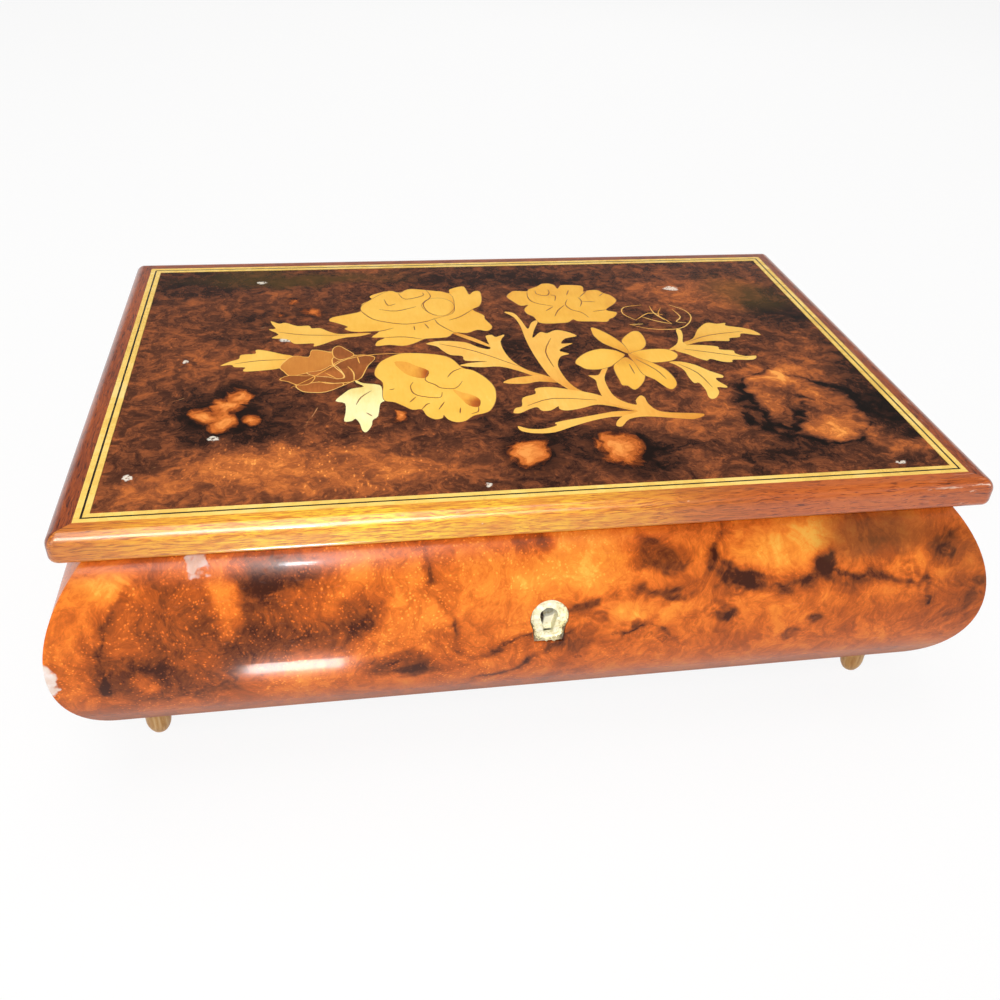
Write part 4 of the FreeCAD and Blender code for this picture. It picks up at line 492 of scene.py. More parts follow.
# floral marquetry: thin closed inlays with outlines in millimetres on the lid
# the UV of a petal or leaf runs out from its base
flowerPlan = {
    "layer": 0.008 * mm, "depth": 0.35 * mm, "seed": 5, "curveSteps": 4, "lineWidth": 0.4,
    "lineEnd": 0.35, "borders": {"sawLine": 0.2, "paleLine": 0.3},
    # heights in layers
    "partLevel": 1, "partStep": 0.1, "overBorder": 0.04, "inkLevel": 3.5, "paleLevel": 4,
    "lineStep": 0.01,
    # finish, base and outline of each part
    "roses": [
        ("goldPetal", (-15, 36), [
            (-50.5, 28), (-49.5, 30.5), (-44.5, 32.5), (-40.5, 34.5), (-40, 38.5), (-39.5, 40.5),
            (-36.5, 43.5), (-37, 45.5), (-35.5, 47.5), (-30.5, 50), (-27, 48.5), (-24, 51), (-21, 51),
            (-17, 48.5), (-13.5, 49), (-10.5, 47), (-10, 50), (-5.5, 52.5), (-4.5, 50), (-4, 45.5),
            (-2, 48), (0, 47.5), (-0.5, 40.5), (-2, 36), (-4.5, 33.5), (-1.5, 29), (-1.5, 26), (0, 20.5),
            (-2, 17.5), (-5, 18.5), (-8.5, 16.5), (-12.5, 17), (-15, 14), (-21, 13.5), (-22.5, 13),
            (-25.5, 10.5), (-29, 9), (-33, 10), (-37, 9.5), (-36.5, 12.5), (-34, 15), (-38, 15.5),
            (-35.5, 19.5), (-40.5, 19.5), (-44, 20), (-46, 22), (-45, 23.5), (-48.5, 26.5)]),
        ("goldPetal", (-13, 37), [
            (-40, 34), (-40, 38.5), (-37, 43), (-30.5, 50), (-27, 48), (-24, 51), (-18, 50),
            (-10.5, 46.5), (-10, 37.5), (-11.5, 31), (-17.5, 27.5), (-20.5, 25.5), (-26.5, 24),
            (-32, 25.5), (-37, 28.5)]),
        ("goldPetal", (-10, 34), [
            (-20.5, 38), (-18, 42.5), (-13.5, 43), (-10.5, 39.5), (-10.5, 34.5), (-13.5, 30), (-17, 30),
            (-19.5, 33.5)]),
        ("goldPetal", (-24, -9), [
            (-38.5, -8.5), (-38, -5), (-36, -0.5), (-32, 3), (-28.5, 4), (-23.5, 3.5), (-18.5, 2),
            (-15.5, -0.5), (-13, -6.5), (-10, -8.5), (-7, -13.5), (-5.5, -19), (-6, -25), (-7.5, -29.5),
            (-9.5, -32.5), (-13.5, -34), (-16, -36.5), (-18.5, -37), (-20.5, -35.5), (-21.5, -33),
            (-22, -34.5), (-24, -35), (-26, -33), (-27, -29.5), (-29.5, -29.5), (-31.5, -27.5),
            (-34, -25), (-36.5, -24), (-37, -21), (-36.5, -14), (-38, -10.5)]),
        ("hollowPetal", (-23.5, -9.5), [
            (-32.5, -1.5), (-29, -1.5), (-26.5, -4), (-23, -7.5), (-24, -11.5), (-26.5, -11.5),
            (-30, -8.5)]),
        ("hollowPetal", (-11, -27.5), [
            (-17.5, -19), (-15, -21), (-12, -23), (-10.5, -26), (-11.5, -29.5), (-14, -28.5), (-15.5, -25)]),
        ("goldPetal", (33, 38), [
            (8.5, 43), (10.5, 46.5), (12, 47.5), (16, 47), (17, 48.5), (20.5, 51), (22.5, 53), (25, 53),
            (26.5, 51.5), (27, 48.5), (28.5, 51), (30, 51.5), (34.5, 51), (36, 50), (36, 48),
            (35.5, 45.5), (37.5, 46.5), (40.5, 46.5), (42, 44), (44, 42), (45, 38), (43, 34.5),
            (39.5, 30.5), (42.5, 28.5), (42, 26.5), (40.5, 24.5), (39, 23.5), (37.5, 21.5), (33.5, 22),
            (28.5, 22.5), (27, 24), (25, 22), (22, 21.5), (17.5, 21.5), (15.5, 22.5), (15, 24.5),
            (14.5, 27), (13, 29), (12.5, 31.5), (13, 33.5), (14.5, 36), (12, 35.5), (10, 39)])],
    "lilyBase": (38.3, -3.1),
    "lilyPetals": [
        [(39, 8), (43.5, 13.5), (46, 13.5), (46.5, 9), (45.5, 4), (42.5, 0.5), (39, -1), (39, 3.5)],
        [(39, -1.5), (44.5, 1), (50.5, 1), (53, -1), (53.5, -3.5), (51, -6.5), (45.5, -7.5), (42, -6)],
        [
            (32, -9), (34, -6), (37, -3.5), (38.5, -6), (40, -9.5), (40, -14.5), (38, -19.5),
            (34.5, -23.5), (33, -21), (31.5, -20.5), (31.5, -17.5), (31.5, -13)],
        [
            (21, -6), (22.5, -3), (26, 0.5), (30.5, 2.5), (34.5, 1.5), (36.5, -0.5), (37, -2.5),
            (32.5, -7.5), (31, -9), (27, -10.5), (23.5, -10), (22, -8)],
        [
            (31.5, 17.5), (33.5, 16), (36.5, 11), (38.5, 5.5), (39, 1), (38.5, -1), (36, 2), (32.5, 6.5),
            (31, 11.5), (31, 14.5)],
        [
            (38.5, -1), (41.5, -4.5), (44.5, -8), (47, -12), (48, -17.5), (47.5, -21.5), (45.5, -24),
            (44, -23), (42, -18), (39.5, -14.5), (39, -8.5)]],
    "brownBase": (-51, -4),
    # finish and outline of each part
    "brownParts": [
        ("shadedPetal", [
            (-65, -1.5), (-61.5, 4.5), (-57, 3.5), (-56, 8), (-51.5, 6.5), (-49.5, 7), (-49.5, 9),
            (-48, 10), (-46, 7.5), (-44, 4), (-41.5, 4), (-38, 2), (-40.5, -3.5), (-42.5, -10),
            (-44.5, -11.5), (-48, -14.5), (-52.5, -17.5), (-56.5, -17.5), (-59, -16.5), (-60.5, -13),
            (-62.5, -11), (-65, -9.5), (-62.5, -7.5)]),
        ("amberPetal", [
            (-65, -1.5), (-61.5, 4.5), (-57, 3.5), (-56, 8), (-51.5, 6.5), (-49.5, 4.5), (-50.5, 1.5),
            (-50.5, -2.5), (-53.5, -5), (-57.5, -6), (-62, -7.5), (-64, -4.5)]),
        ("shadedPetal", [
            (-60.5, -13.5), (-57, -12.5), (-54, -12), (-50, -13), (-48, -13), (-48, -14.5),
            (-52.5, -17.5), (-56.5, -17.5), (-59, -16.5)]),
        ("shadedPetal", [
            (-65, -9.5), (-62.5, -7.5), (-58.5, -8), (-55.5, -8.5), (-57, -12.5), (-60, -13), (-62.5, -11)]),
        ("shadedPetal", [
            (-50, -2), (-47.5, 1), (-43, 3.5), (-38, 2), (-40.5, -3.5), (-42.5, -10), (-44.5, -11.5),
            (-44.5, -7), (-45.5, -4), (-48.5, -4.5)]),
        ("shadedPetal", [
            (-49.5, 3), (-50, 6.5), (-49.5, 9), (-48, 10), (-46, 7.5), (-44, 4), (-47.5, 1.5)]),
        ("shadedPetal", [
            (-57.5, -6), (-53.5, -5), (-50, -2), (-47.5, -7.5), (-47.5, -10), (-50, -10), (-51.5, -9),
            (-55.5, -8)])],
    "engraved": [
        [(-40, 34), (-37, 28.5), (-32, 25.5), (-26.5, 24), (-20.5, 25.5), (-17.5, 27.5)],
        [(-18, 50), (-17, 44.5), (-20, 39), (-19, 32.5), (-16.5, 30)],
        [(-27.5, 48), (-25.5, 43), (-19.5, 45.5), (-19.5, 48)], [(-34.5, 35.5), (-29, 34), (-22.5, 37)],
        [(-32.5, 43.5), (-31.5, 38.5), (-29, 39.5)], [(-24.5, 22.5), (-24.5, 19.5)],
        [(-21, 24), (-20, 20.5)], [(-40.5, 19.5), (-35.5, 19.5), (-31, 21.5)],
        [(-34, 15), (-28, 15), (-22.5, 13)], [(-4.5, 33.5), (-9, 28.5), (-13, 26)],
        [(-12.5, 17), (-16.5, 23), (-17.5, 27)],
        [(-23, -7.5), (-24.5, -13), (-22, -16), (-20.5, -18), (-16.5, -18.5), (-14, -14.5)],
        [(-18, -12), (-16, -8.5), (-13, -6.5)],
        [(-28, -14), (-29, -16.5), (-28.5, -20.5), (-26, -22.5), (-21.5, -23.5), (-20.5, -20.5)],
        [(-30, -25.5), (-28, -22.5)], [(-22.5, -30), (-20.5, -26)], [(-17, -32.5), (-16.5, -29.5)],
        [(-27, -29.5), (-25.5, -27), (-24.5, -26.5)], [(-35, -18), (-33.5, -17.5)],
        [(-11.5, -29.5), (-12, -32), (-14, -33)],
        [(19, 47.5), (19, 44.5), (22, 43), (23.5, 45.5), (23.5, 48)],
        [(16, 46.5), (15.5, 41.5), (17, 37.5), (22.5, 34.5)], [(24, 38.5), (25, 42.5), (23.5, 43.5)],
        [(26.5, 35), (23.5, 31), (21.5, 26.5)],
        [(28.5, 39.5), (27, 35.5), (28, 31.5), (31, 29), (32.5, 25)],
        [(32.5, 41), (33, 37.5), (31.5, 33.5)], [(33, 37.5), (37.5, 37)],
        [(33, 41), (35.5, 44.5), (37, 46.5)], [(40, 41.5), (42, 44)], [(30.5, 47), (29, 43)],
        [(19.5, 31), (22.5, 34)], [(35, 29.5), (39.5, 30.5)], [(37, -8), (37, -14)],
        [(40, -5), (44, -12), (45.5, -18)]],
    "paleLines": [
        [(52.5, 33.5), (46, 32), (44.5, 27), (47.5, 22)],
        [(44.5, 19), (50, 15.5), (58, 14.5), (63, 17), (66.5, 23), (66, 28.5), (62, 33)],
        [(44.5, 19), (49, 19)], [(47.5, 22), (53, 27), (57.5, 25.5)], [(55, 32.5), (55, 27), (57, 21.5)],
        [(58.5, 31), (56, 25.5), (57.5, 21.5), (58.5, 18.5)],
        [(62, 29.5), (63, 23.5), (60.5, 20), (63.5, 19)], [(50, 24.5), (54, 21), (58.5, 18.5)],
        [(-62, -14.5), (-57, -10), (-51, -3.5), (-46, 1.5), (-37.5, 4), (-27, 4)],
        [(-50.5, 1.5), (-50, -2.5), (-47.5, -7.5), (-47.5, -10), (-49.5, -10.5)],
        [(-46, -3), (-44.5, -7), (-44.5, -11.5)], [(-54.5, -11.5), (-51, -13), (-44.5, -12.5)],
        [(-43, 3), (-42.5, -1.5)], [(-52.5, -6.5), (-49.5, -10)]],
}
leafPlan = {
    "stemLevel": 0.05, "leafLevel": 0.15, "leafStep": 0.05, "inkLevel": 0.9, "lineStep": 0.005,
    # width and line
    "stems": [(2.0, [(-14, 18), (-8, 12.5), (-2, 6)])],
    "engraved": [
        [(-66, 21), (-58, 18.5), (-46, 17.5)], [(-78, 1), (-71, 2.5), (-62.5, 2.5)],
        [(-44.5, -25.5), (-43, -21.5), (-40, -18)], [(-42, -30), (-40.5, -32)],
        [(-18, 9.5), (-8, 4), (4, -7)], [(60, 5.5), (68, 9.5), (80, 11.5)],
        [(57, 0.5), (65, -2.5), (75, -6.5)], [(52, -9), (56, -15), (57.5, -24)],
        [(17, 11), (13.5, 2), (14, -8)], [(2, -30), (10, -26.5), (22, -28.5)]],
    # finish, where the shape is joined on, and its outline
    "shapes": [
        ("plantLeaf", (13.5, -17), [
            (-22, 10), (-17, 11.5), (-10, 10), (-6.5, 6.5), (-3, 5), (-3, 10.5), (-3, 14), (-1, 14.5),
            (0, 13), (3, 14.5), (1, 10), (1, 3.5), (2.5, -3.5), (6, -9.5), (10.5, -13), (13.5, -17),
            (7.5, -13.5), (3, -9.5), (-2, -6.5), (-7.5, -6.5), (-13.5, -5), (-10, -3.5), (-5, -3),
            (-11.5, -2), (-12, 1), (-15.5, 2), (-17.5, 5), (-19, 8)]),
        ("plantLeaf", (14, -17.5), [
            (-2.5, -16.5), (0.5, -14), (5.5, -13), (10.5, -13), (14, -17.5), (8, -16.5), (3.5, -17.5)]),
        ("plantLeaf", (25.5, -29.5), [
            (5.5, 31), (8.5, 30), (10, 24.5), (11, 18), (13, 22.5), (15.5, 24), (13, 17.5), (11.3, 11.5),
            (14.5, 15.5), (16.5, 14.5), (19.5, 16.5), (22.5, 15.5), (25.5, 12), (21.5, 10.5), (19.5, 7),
            (23, 7), (19, 4), (18, 2), (20.5, 0), (17.5, -1.5), (15.5, -6.5), (15.5, -11.5), (16.5, -18),
            (19, -23), (24, -26.5), (25.5, -29.5), (18.5, -27), (15.5, -22), (12, -15), (10.5, -7.5),
            (9.5, 1), (9, 10), (9, 20.5), (8, 27)]),
        ("plantLeaf", (33, -36), [
            (-2.5, -33.5), (-1.5, -31), (0.5, -30), (1.5, -25.5), (5.5, -23.5), (6, -20.5), (10.5, -20),
            (16, -22), (21.5, -24.5), (26, -28), (30, -31.5), (33, -36), (29.5, -34.5), (26, -32.5),
            (21.5, -31), (17, -32.5), (12.5, -33.5), (10.5, -32.5), (10.5, -31), (8, -33), (5.5, -33),
            (4.5, -31), (2, -32), (-0.5, -33.7)]),
        ("plantLeaf", (33.5, -36), [
            (-2.5, -40.5), (0, -42), (4, -42.5), (8, -41), (8, -39.5), (15.5, -37.5), (21.5, -36),
            (26.5, -35), (33.5, -36), (31.5, -38), (27.5, -38), (23.5, -38), (18, -39.5), (12, -42),
            (6.5, -44.5), (1.5, -44.5), (-2, -43)]),
        ("plantLeaf", (50, -38.5), [
            (24.5, -28.5), (24, -22), (24.5, -17), (23, -14), (26, -14), (28, -10.5), (30, -9.5),
            (27.5, -15.5), (27, -21), (27.5, -26.5), (29.5, -30), (32.5, -32), (33, -29.5), (35, -27),
            (36, -28), (36, -31.5), (37.5, -35.5), (41, -37), (50, -38.5), (46.5, -41), (41, -40),
            (33.5, -38.5), (28.5, -39.5), (25.5, -43), (24, -42.5), (25, -40), (27.5, -37.5), (32, -35.5),
            (28, -32.5)]),
        ("goldLeaf", (-38, 18.5), [
            (-68.5, 29), (-66, 27), (-64, 27.5), (-60.5, 25), (-57, 25), (-56, 23), (-53.5, 23),
            (-51, 20.5), (-48, 18.5), (-43.5, 18.5), (-38, 18.5), (-41.5, 16.5), (-45.5, 16), (-49, 14.5),
            (-52.5, 12), (-55.5, 10.5), (-55.5, 12.5), (-59, 12.5), (-61.5, 13), (-63.5, 16), (-68, 17),
            (-66, 19.5), (-69, 23), (-67, 23.5), (-68, 26.5)]),
        ("goldLeaf", (-61.5, 2), [
            (-82, 0), (-79.5, 2.5), (-77, 4), (-76.5, 6.5), (-72.5, 7), (-72.5, 9), (-71.5, 9.5),
            (-68, 8), (-64.5, 6), (-61.5, 4.5), (-62, 0.5), (-65, -2.5), (-68.5, -3.5), (-74.5, -4),
            (-75.5, -3), (-75, -1.5), (-78, -1), (-79, 0.5)]),
        ("creamLeaf", (-42, -13.5), [
            (-44, -11.5), (-42, -13.5), (-37.5, -15), (-37, -19), (-36.5, -23.5), (-38, -25.5),
            (-39, -32), (-40.5, -34), (-41, -37), (-42.5, -40), (-43.5, -39), (-44, -35.5), (-45, -33),
            (-46, -34), (-48, -34), (-47.5, -29.5), (-47.5, -24.5), (-50, -23), (-48, -19.5),
            (-45.5, -16.5), (-42, -15.5), (-44, -13)]),
        ("goldLeaf", (58, 4), [
            (58, 5), (62, 7.5), (65.5, 13.5), (69, 17.5), (71, 18.5), (73.5, 17.5), (76.5, 18), (76, 16),
            (81, 14), (84, 11.5), (85, 8.5), (82.5, 9), (79, 10), (77.5, 7.5), (74, 7), (73, 5),
            (68.5, 5.5), (63, 5), (58, 3)]),
        ("goldLeaf", (54, 0.5), [
            (54, 0.5), (58, 3), (62.5, 3), (68, 1.5), (68, -0.5), (72, -1.5), (72, -3.5), (74.5, -5.5),
            (78, -5.5), (76, -8), (70, -7.5), (69, -9), (66, -8.5), (63, -6.5), (61.5, -7.5), (59, -5.5),
            (57, -3), (54.5, -1)]),
        ("goldLeaf", (54.5, 0.5), [
            (58.5, 14), (60, 14), (59.5, 10), (58, 5.5), (58.5, 3), (54.5, 0.5), (52, 0.5), (55.5, 4),
            (57.5, 8.5)]),
        ("goldLeaf", (49.5, -7.5), [
            (49.5, -7.5), (53, -7.5), (57, -10), (60, -14), (63, -17), (62.5, -18.5), (60.5, -18.5),
            (60.5, -20.5), (62, -23.5), (61.5, -24.5), (59, -24), (58.5, -27), (56.5, -30), (55, -30.5),
            (54.5, -29), (55, -25.5), (54.5, -21), (53, -21), (52.5, -17.5), (52.5, -13), (51, -9.5)])],
}


def inlayWood(tones, shade):  # darker towards the base of a petal or leaf, as if scorched in hot sand
    def build(place):
        along = place.node("TexCoord", None, None, 2).axis("X")
        own = place.node("Attribute", {"attribute_name": "tone"}, None, 2)
        grain = place.stretch(1, 0.2, 1).noise(1300, 4, 0.6)
        burnt = along.fade(0.02, 0.55) * (0.6 + 0.6 * place.noise(120, 2))
        tone = 0.70 - shade * burnt + 0.24 * (grain - 0.5) + 0.20 * (own - 0.5)
        tone = tone + 0.45 * (place.noise(75, 3) - 0.5)
        return {"Base_Color": tone.ramp(tones), "Roughness": 0.16 + 0.14 * grain}

    return build


def plainInk(place):
    return {"Base_Color": place.noise(700, 3).ramp([(0.3, "7a4010"), (0.75, "a0621e")]),
            "Roughness": 0.25 + 0.1 * place.noise(200, 2)}


inlayTones = {
    "goldPetal": (
        [(0.0, "b4661a"), (0.3, "e0942e"), (0.6, "f6b640"), (0.85, "ffc854"), (1.0, "ffdf86")], 0.38),
    "shadedPetal": (
        [(0.0, "4a1e0a"), (0.35, "7c3c14"), (0.65, "94501e"), (0.85, "c47030"), (1.0, "e09040")], 0.3),
    "paleLine": ([(0.0, "a85a14"), (0.3, "dc8f28"), (0.6, "f0b050"), (1.0, "ffdf86")], 0.2),
    "hollowPetal": ([(0.0, "74300a"), (0.35, "c0621a"), (0.7, "f2a83a"), (1.0, "fcc254")], 0.75),
    "amberPetal": ([(0.0, "8a4410"), (0.4, "b8682a"), (0.7, "d08434"), (1.0, "e8a450")], 0.2),
    "goldLeaf": (
        [(0.0, "b06c1c"), (0.3, "e2a03a"), (0.55, "f4b84c"), (0.8, "fccb60"), (1.0, "ffe08c")], 0.25),
    "creamLeaf": ([(0.0, "c99a3a"), (0.35, "f0d070"), (0.7, "fdf0a8"), (1.0, "fff8cc")], 0.35),
    "plantLeaf": (
        [(0.0, "b45c14"), (0.3, "dc8c2c"), (0.55, "f0aa44"), (0.8, "fcc258"), (1.0, "ffd878")], 0.35),
}
inlays = {name: newFinish(name, inlayWood(*tones), **lacquer) for name, tones in inlayTones.items()}
inlays["sawLine"] = newFinish("sawLine", plainInk, **lacquer)
rng = random.Random(flowerPlan["seed"])


def smooth(points, closed=True):  # a curve through points given in millimetres
    count = len(points)
    curve = []
    for i in range(count if closed else count - 1):
        if closed:
            near = [(i + k) % count for k in (-1, 0, 1, 2)]
        else:
            near = [min(max(i + k, 0), count - 1) for k in (-1, 0, 1, 2)]
        before, start, end, after = (Vector(points[k]) for k in near)
        leave, arrive = start + (end - before) / 6, end - (after - start) / 6
        curve += interpolate_bezier(start, leave, arrive, end, flowerPlan["curveSteps"])[:-1]
    return curve if closed else curve + [Vector(points[-1])]


def stroke(points, wide):  # outline of an engraved line that thins out at both ends
    line = smooth(points, False)
    sides = [], []
    for i, spot in enumerate(line):
        run = line[min(i + 1, len(line) - 1)] - line[max(i - 1, 0)]
        across = Vector((-run.y, run.x)).normalized()
        swell = math.sin(math.pi * i / (len(line) - 1))
        half = wide / 2 * (flowerPlan["lineEnd"] + (1 - flowerPlan["lineEnd"]) * swell)
        sides[0].append(spot + across * half)
        sides[1].append(spot - across * half)
    return sides[0] + sides[1][::-1]


class Inlay:  # collects petals, leaves and lines in one mesh
    def __init__(self, *finishes):
        self.finishes = finishes
        self.bm = bmesh.new()
        self.uv = self.bm.loops.layers.uv.new("UVMap")
        self.tone = self.bm.verts.layers.float.new("tone")

    def lay(self, base, curve, level, finish, tone, wider=0.0):
        ring = bmesh.ops.create_circle(self.bm, cap_ends=True, radius=1, segments=len(curve))["verts"]
        face = ring[0].link_faces[0]
        reach = max((at - Vector(base)).length for at in curve)
        middle = sum(curve, Vector((0, 0))) / len(curve)
        for loop, at in zip(face.loops, curve):
            at = at + (at - middle).normalized() * wider
            loop.vert.co = Vector((at.x * mm, at.y * mm, panelTop + level * flowerPlan["layer"]))
            loop.vert[self.tone] = tone
            loop[self.uv].uv = ((at - Vector(base)).length / reach, 0.5)
        face.material_index = self.finishes.index(finish)
        face.normal_update()
        if face.normal.z < 0:
            face.normal_flip()
        grown = bmesh.ops.extrude_face_region(self.bm, geom=[face], use_keep_orig=True)["geom"]
        moved = [g for g in grown if isinstance(g, bmesh.types.BMVert)]
        bmesh.ops.translate(self.bm, vec=(0, 0, -flowerPlan["depth"]), verts=moved)
        bmesh.ops.reverse_faces(self.bm, faces=[g for g in grown if isinstance(g, bmesh.types.BMFace)])

    def engrave(self, lines, level, step, finish):
        for number, points in enumerate(lines):
            line = stroke(points, flowerPlan["lineWidth"])
            self.lay(points[0], line, level + step * number, finish, rng.random())

    def piece(self, name):
        return keep(self.bm, name, "lid", *[inlays[finish] for finish in self.finishes])


flowers = Inlay("goldPetal", "sawLine", "shadedPetal", "paleLine", "hollowPetal", "amberPetal")
plan = flowerPlan
parts = [(finish, "sawLine", base, points) for finish, base, points in plan["roses"]]
parts += [("goldPetal", "sawLine", plan["lilyBase"], points) for points in plan["lilyPetals"]]
parts += [(finish, "paleLine", plan["brownBase"], points) for finish, points in plan["brownParts"]]
for number, (finish, border, base, points) in enumerate(parts):
    tone = rng.random()
    curve = smooth(points)
    level = plan["partLevel"] + plan["partStep"] * number
    if finish != "hollowPetal":  # a hollow has no border
        flowers.lay(base, curve, level, border, tone, plan["borders"][border])
    flowers.lay(base, curve, level + plan["overBorder"], finish, tone)
flowers.engrave(plan["engraved"], plan["inkLevel"], plan["lineStep"], "sawLine")
flowers.engrave(plan["paleLines"], plan["paleLevel"], plan["lineStep"], "paleLine")
flowerPiece = flowers.piece("marquetryFlowers")
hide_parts("marquetry_flowers")

leaves = Inlay("goldLeaf", "creamLeaf", "plantLeaf", "sawLine")
plan = leafPlan
for wide, points in plan["stems"]:
    leaves.lay(points[0], stroke(points, wide), plan["stemLevel"], "plantLeaf", rng.random())
for number, (finish, base, points) in enumerate(plan["shapes"]):
    level = plan["leafLevel"] + plan["leafStep"] * number
    leaves.lay(base, smooth(points), level, finish, rng.random())
leaves.engrave(plan["engraved"], plan["inkLevel"], plan["lineStep"], "sawLine")
leafPiece = leaves.piece("marquetryLeaves")
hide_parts("marquetry_leaves")
print("marquetry done")

# plain woods, metals and cloth; round the keyhole the carcass takes pale filler and painted light, with
# painted shade on its far side
keyholeWood = {
    # centre and half sizes
    "fillerAndLight": ((0, -76, 47.6), (6.2, 14, 8.2)), "dark": "2c1a0c",
    "gloom": [((-1.9, -74, 47.6), (1.3, 18, 5)), ((-0.4, -74, 51.4), (2.6, 18, 1.4))],
}


def carcassWood(place):
    grain = place.warp(20, 0.01).stretch(0.08, 1, 1).noise(420, 5, 0.6)
    colour = grain.ramp([(0.25, "8a5a30"), (0.5, "b98550"), (0.75, "d2a56e")])
    fillerAndLight = place.noise(900, 3).ramp([(0.3, "d8cca0"), (0.5, "fbf8e8")])
    # painted shade on the far side of the keyhole
    gloom = 0.0
    for centre, size in keyholeWood["gloom"]:
        gloom = place.blot(centre, size, 0.2).grow(gloom)
    # pale filler and painted light round and inside the keyhole
    around = place.blot(*keyholeWood["fillerAndLight"], 0.1)
    colour = around.blend(colour, gloom.blend(fillerAndLight, tint(keyholeWood["dark"])))
    return {"Base_Color": colour, "Roughness": 0.5 + 0.2 * grain, "Normal": grain.bump(0.3, 0.0004)}


def footWood(place):
    grain = place.stretch(1, 1, 0.12).noise(1400, 4, 0.6)
    dirt = place.noise(500, 3)
    clean = grain.ramp([(0.25, "b07a3a"), (0.5, "d6a561"), (0.8, "efd2a0")])
    colour = (0.4 * dirt).blend(clean, tint("8a5a22"))
    return {"Base_Color": colour, "Roughness": 0.3 + 0.2 * grain}


def brassMetal(place):
    dull = place.noise(160, 5, 0.65)
    rub = place.stretch(1, 1, 0.2).noise(2200, 2)
    return {"Base_Color": dull.ramp([(0.25, "8f6c2e"), (0.5, "c9a557"), (0.75, "e6cb86")]),
            "Roughness": 0.22 + 0.25 * dull + 0.1 * rub}


def steelMetal(place):
    rub = place.stretch(0.2, 1, 1).noise(1600, 3)
    dull = place.noise(120, 4)
    return {"Base_Color": dull.ramp([(0.25, "84868a"), (0.75, "b9bbbe")]), "Roughness": 0.24 + 0.2 * rub}


def clearSheet(place):
    rub = place.warp(30, 0.02).stretch(0.1, 1, 1).noise(1200, 2).step(0.68, 0.75)
    return {"Roughness": 0.02 + 0.12 * rub}


brass = newFinish("brass", brassMetal, Metallic=1.0)
steel = newFinish("steel", steelMetal, Metallic=1.0)
dress(newFinish("carcassWood", carcassWood), "front_wall", "back_wall", "left_wall", "right_wall",
      "base_board", "divider", "cover_ledges", "lid_board")
dress(newFinish("footWood", footWood, Specular_IOR_Level=0.4), "feet")
dress(brass, "lock_case", "lid_catch", "hinge_leaves_case", "hinge_leaves_lid", "hinge_pins",
      "hinge_screws_case", "hinge_screws_lid", "bedplate", "spring_barrel", "barrel_cap", "cylinder_shell",
      "drive_pinion", "train_gear", "front_bearing", "back_bearing", "governor_pinion", "worm_wheel",
      "governor_frame", "winding_key")
dress(steel, "lock_bolt", "bedplate_screws", "winding_arbor", "mainspring", "cylinder_arbor",
      "cylinder_pins", "comb", "comb_base", "comb_screws", "governor_arbor", "worm_shaft", "fan",
      "stop_rod")
dress(newFinish("clearSheet", clearSheet, Transmission_Weight=1.0, IOR=1.49), "movement_cover")


def velvetPile(place):
    nap = place.noise(2600, 3, 0.7)
    crush = place.warp(60, 0.01).noise(45, 3)
    tone = 0.35 + 0.5 * (crush - 0.5) + 0.5 * (nap - 0.5)
    return {"Base_Color": tone.ramp([(0.0, "2a0206"), (0.4, "6a0a14"), (0.8, "9c1a26")]),
            "Roughness": 0.75 + 0.2 * nap, "Normal": (nap + crush).bump(0.5, 0.0005)}


def feltPile(place):
    nap = place.noise(1800, 5, 0.75)
    return {"Base_Color": nap.ramp([(0.25, "14301c"), (0.5, "21492b"), (0.8, "35663e")]),
            "Roughness": 0.85 + 0.1 * nap, "Normal": nap.bump(0.6, 0.0006)}


velvet = newFinish("velvetPile", velvetPile, Sheen_Weight=0.25, Sheen_Roughness=0.4,
                   Specular_IOR_Level=0.05, Sheen_Tint=tint("ff8090"))
felt = newFinish("feltPile", feltPile, Sheen_Weight=0.2, Specular_IOR_Level=0.05, Sheen_Tint=tint("90d0a0"))

# soft forms over the lining cards: rounded edges, sunk borders and a slightly uneven pile
# all of it stays inside the space of the card
liningPlan = {
    "grid": 6 * mm, "edge": 0.4 * mm, "edgeSteps": 3, "rim": 0.25 * mm, "fade": 14 * mm, "waves": 70,
    "unevenness": 0.22 * mm,
    "pads": {
        "velvetFloor": ("lining_floor", "case", 0.5),
        "velvetSides": ("lining_sides", "case", 0.35),
        "velvetLid": ("lid_lining", "lid", 0.5),
    },
}
joinWithin, cutWithin = 1e-6, 1e-7
flatTurn, sharpTurn = 0.02, 0.6  # radians between faces that are merged, and at edges that are rounded


def mergedCopy(name):  # a node's loose triangles as joined flat faces
    bm = bmesh.new()
    bm.from_mesh(nodes[name].data)
    bmesh.ops.remove_doubles(bm, verts=bm.verts, dist=joinWithin)
    bmesh.ops.dissolve_limit(bm, angle_limit=flatTurn, verts=bm.verts, edges=bm.edges)
    return bm


def roundEdges(bm, plan):
    edges = [e for e in bm.edges if e.calc_face_angle(0) > sharpTurn]
    bmesh.ops.bevel(
        bm, geom=edges, offset=plan["edge"], affect="EDGES", segments=plan["edgeSteps"], profile=0.5,
        material=-1, clamp_overlap=True,
    )


def gridCuts(bm, low, high, pitch):
    for axis in range(3):
        steps = int((high[axis] - low[axis]) / pitch)
        for step in range(1, steps + 1):
            spot, way = Vector((0, 0, 0)), Vector((0, 0, 0))
            spot[axis] = low[axis] + (high[axis] - low[axis]) * step / (steps + 1)
            way[axis] = 1
            geom = bm.verts[:] + bm.edges[:] + bm.faces[:]
            bmesh.ops.bisect_plane(bm, geom=geom, dist=cutWithin, plane_co=spot, plane_no=way)


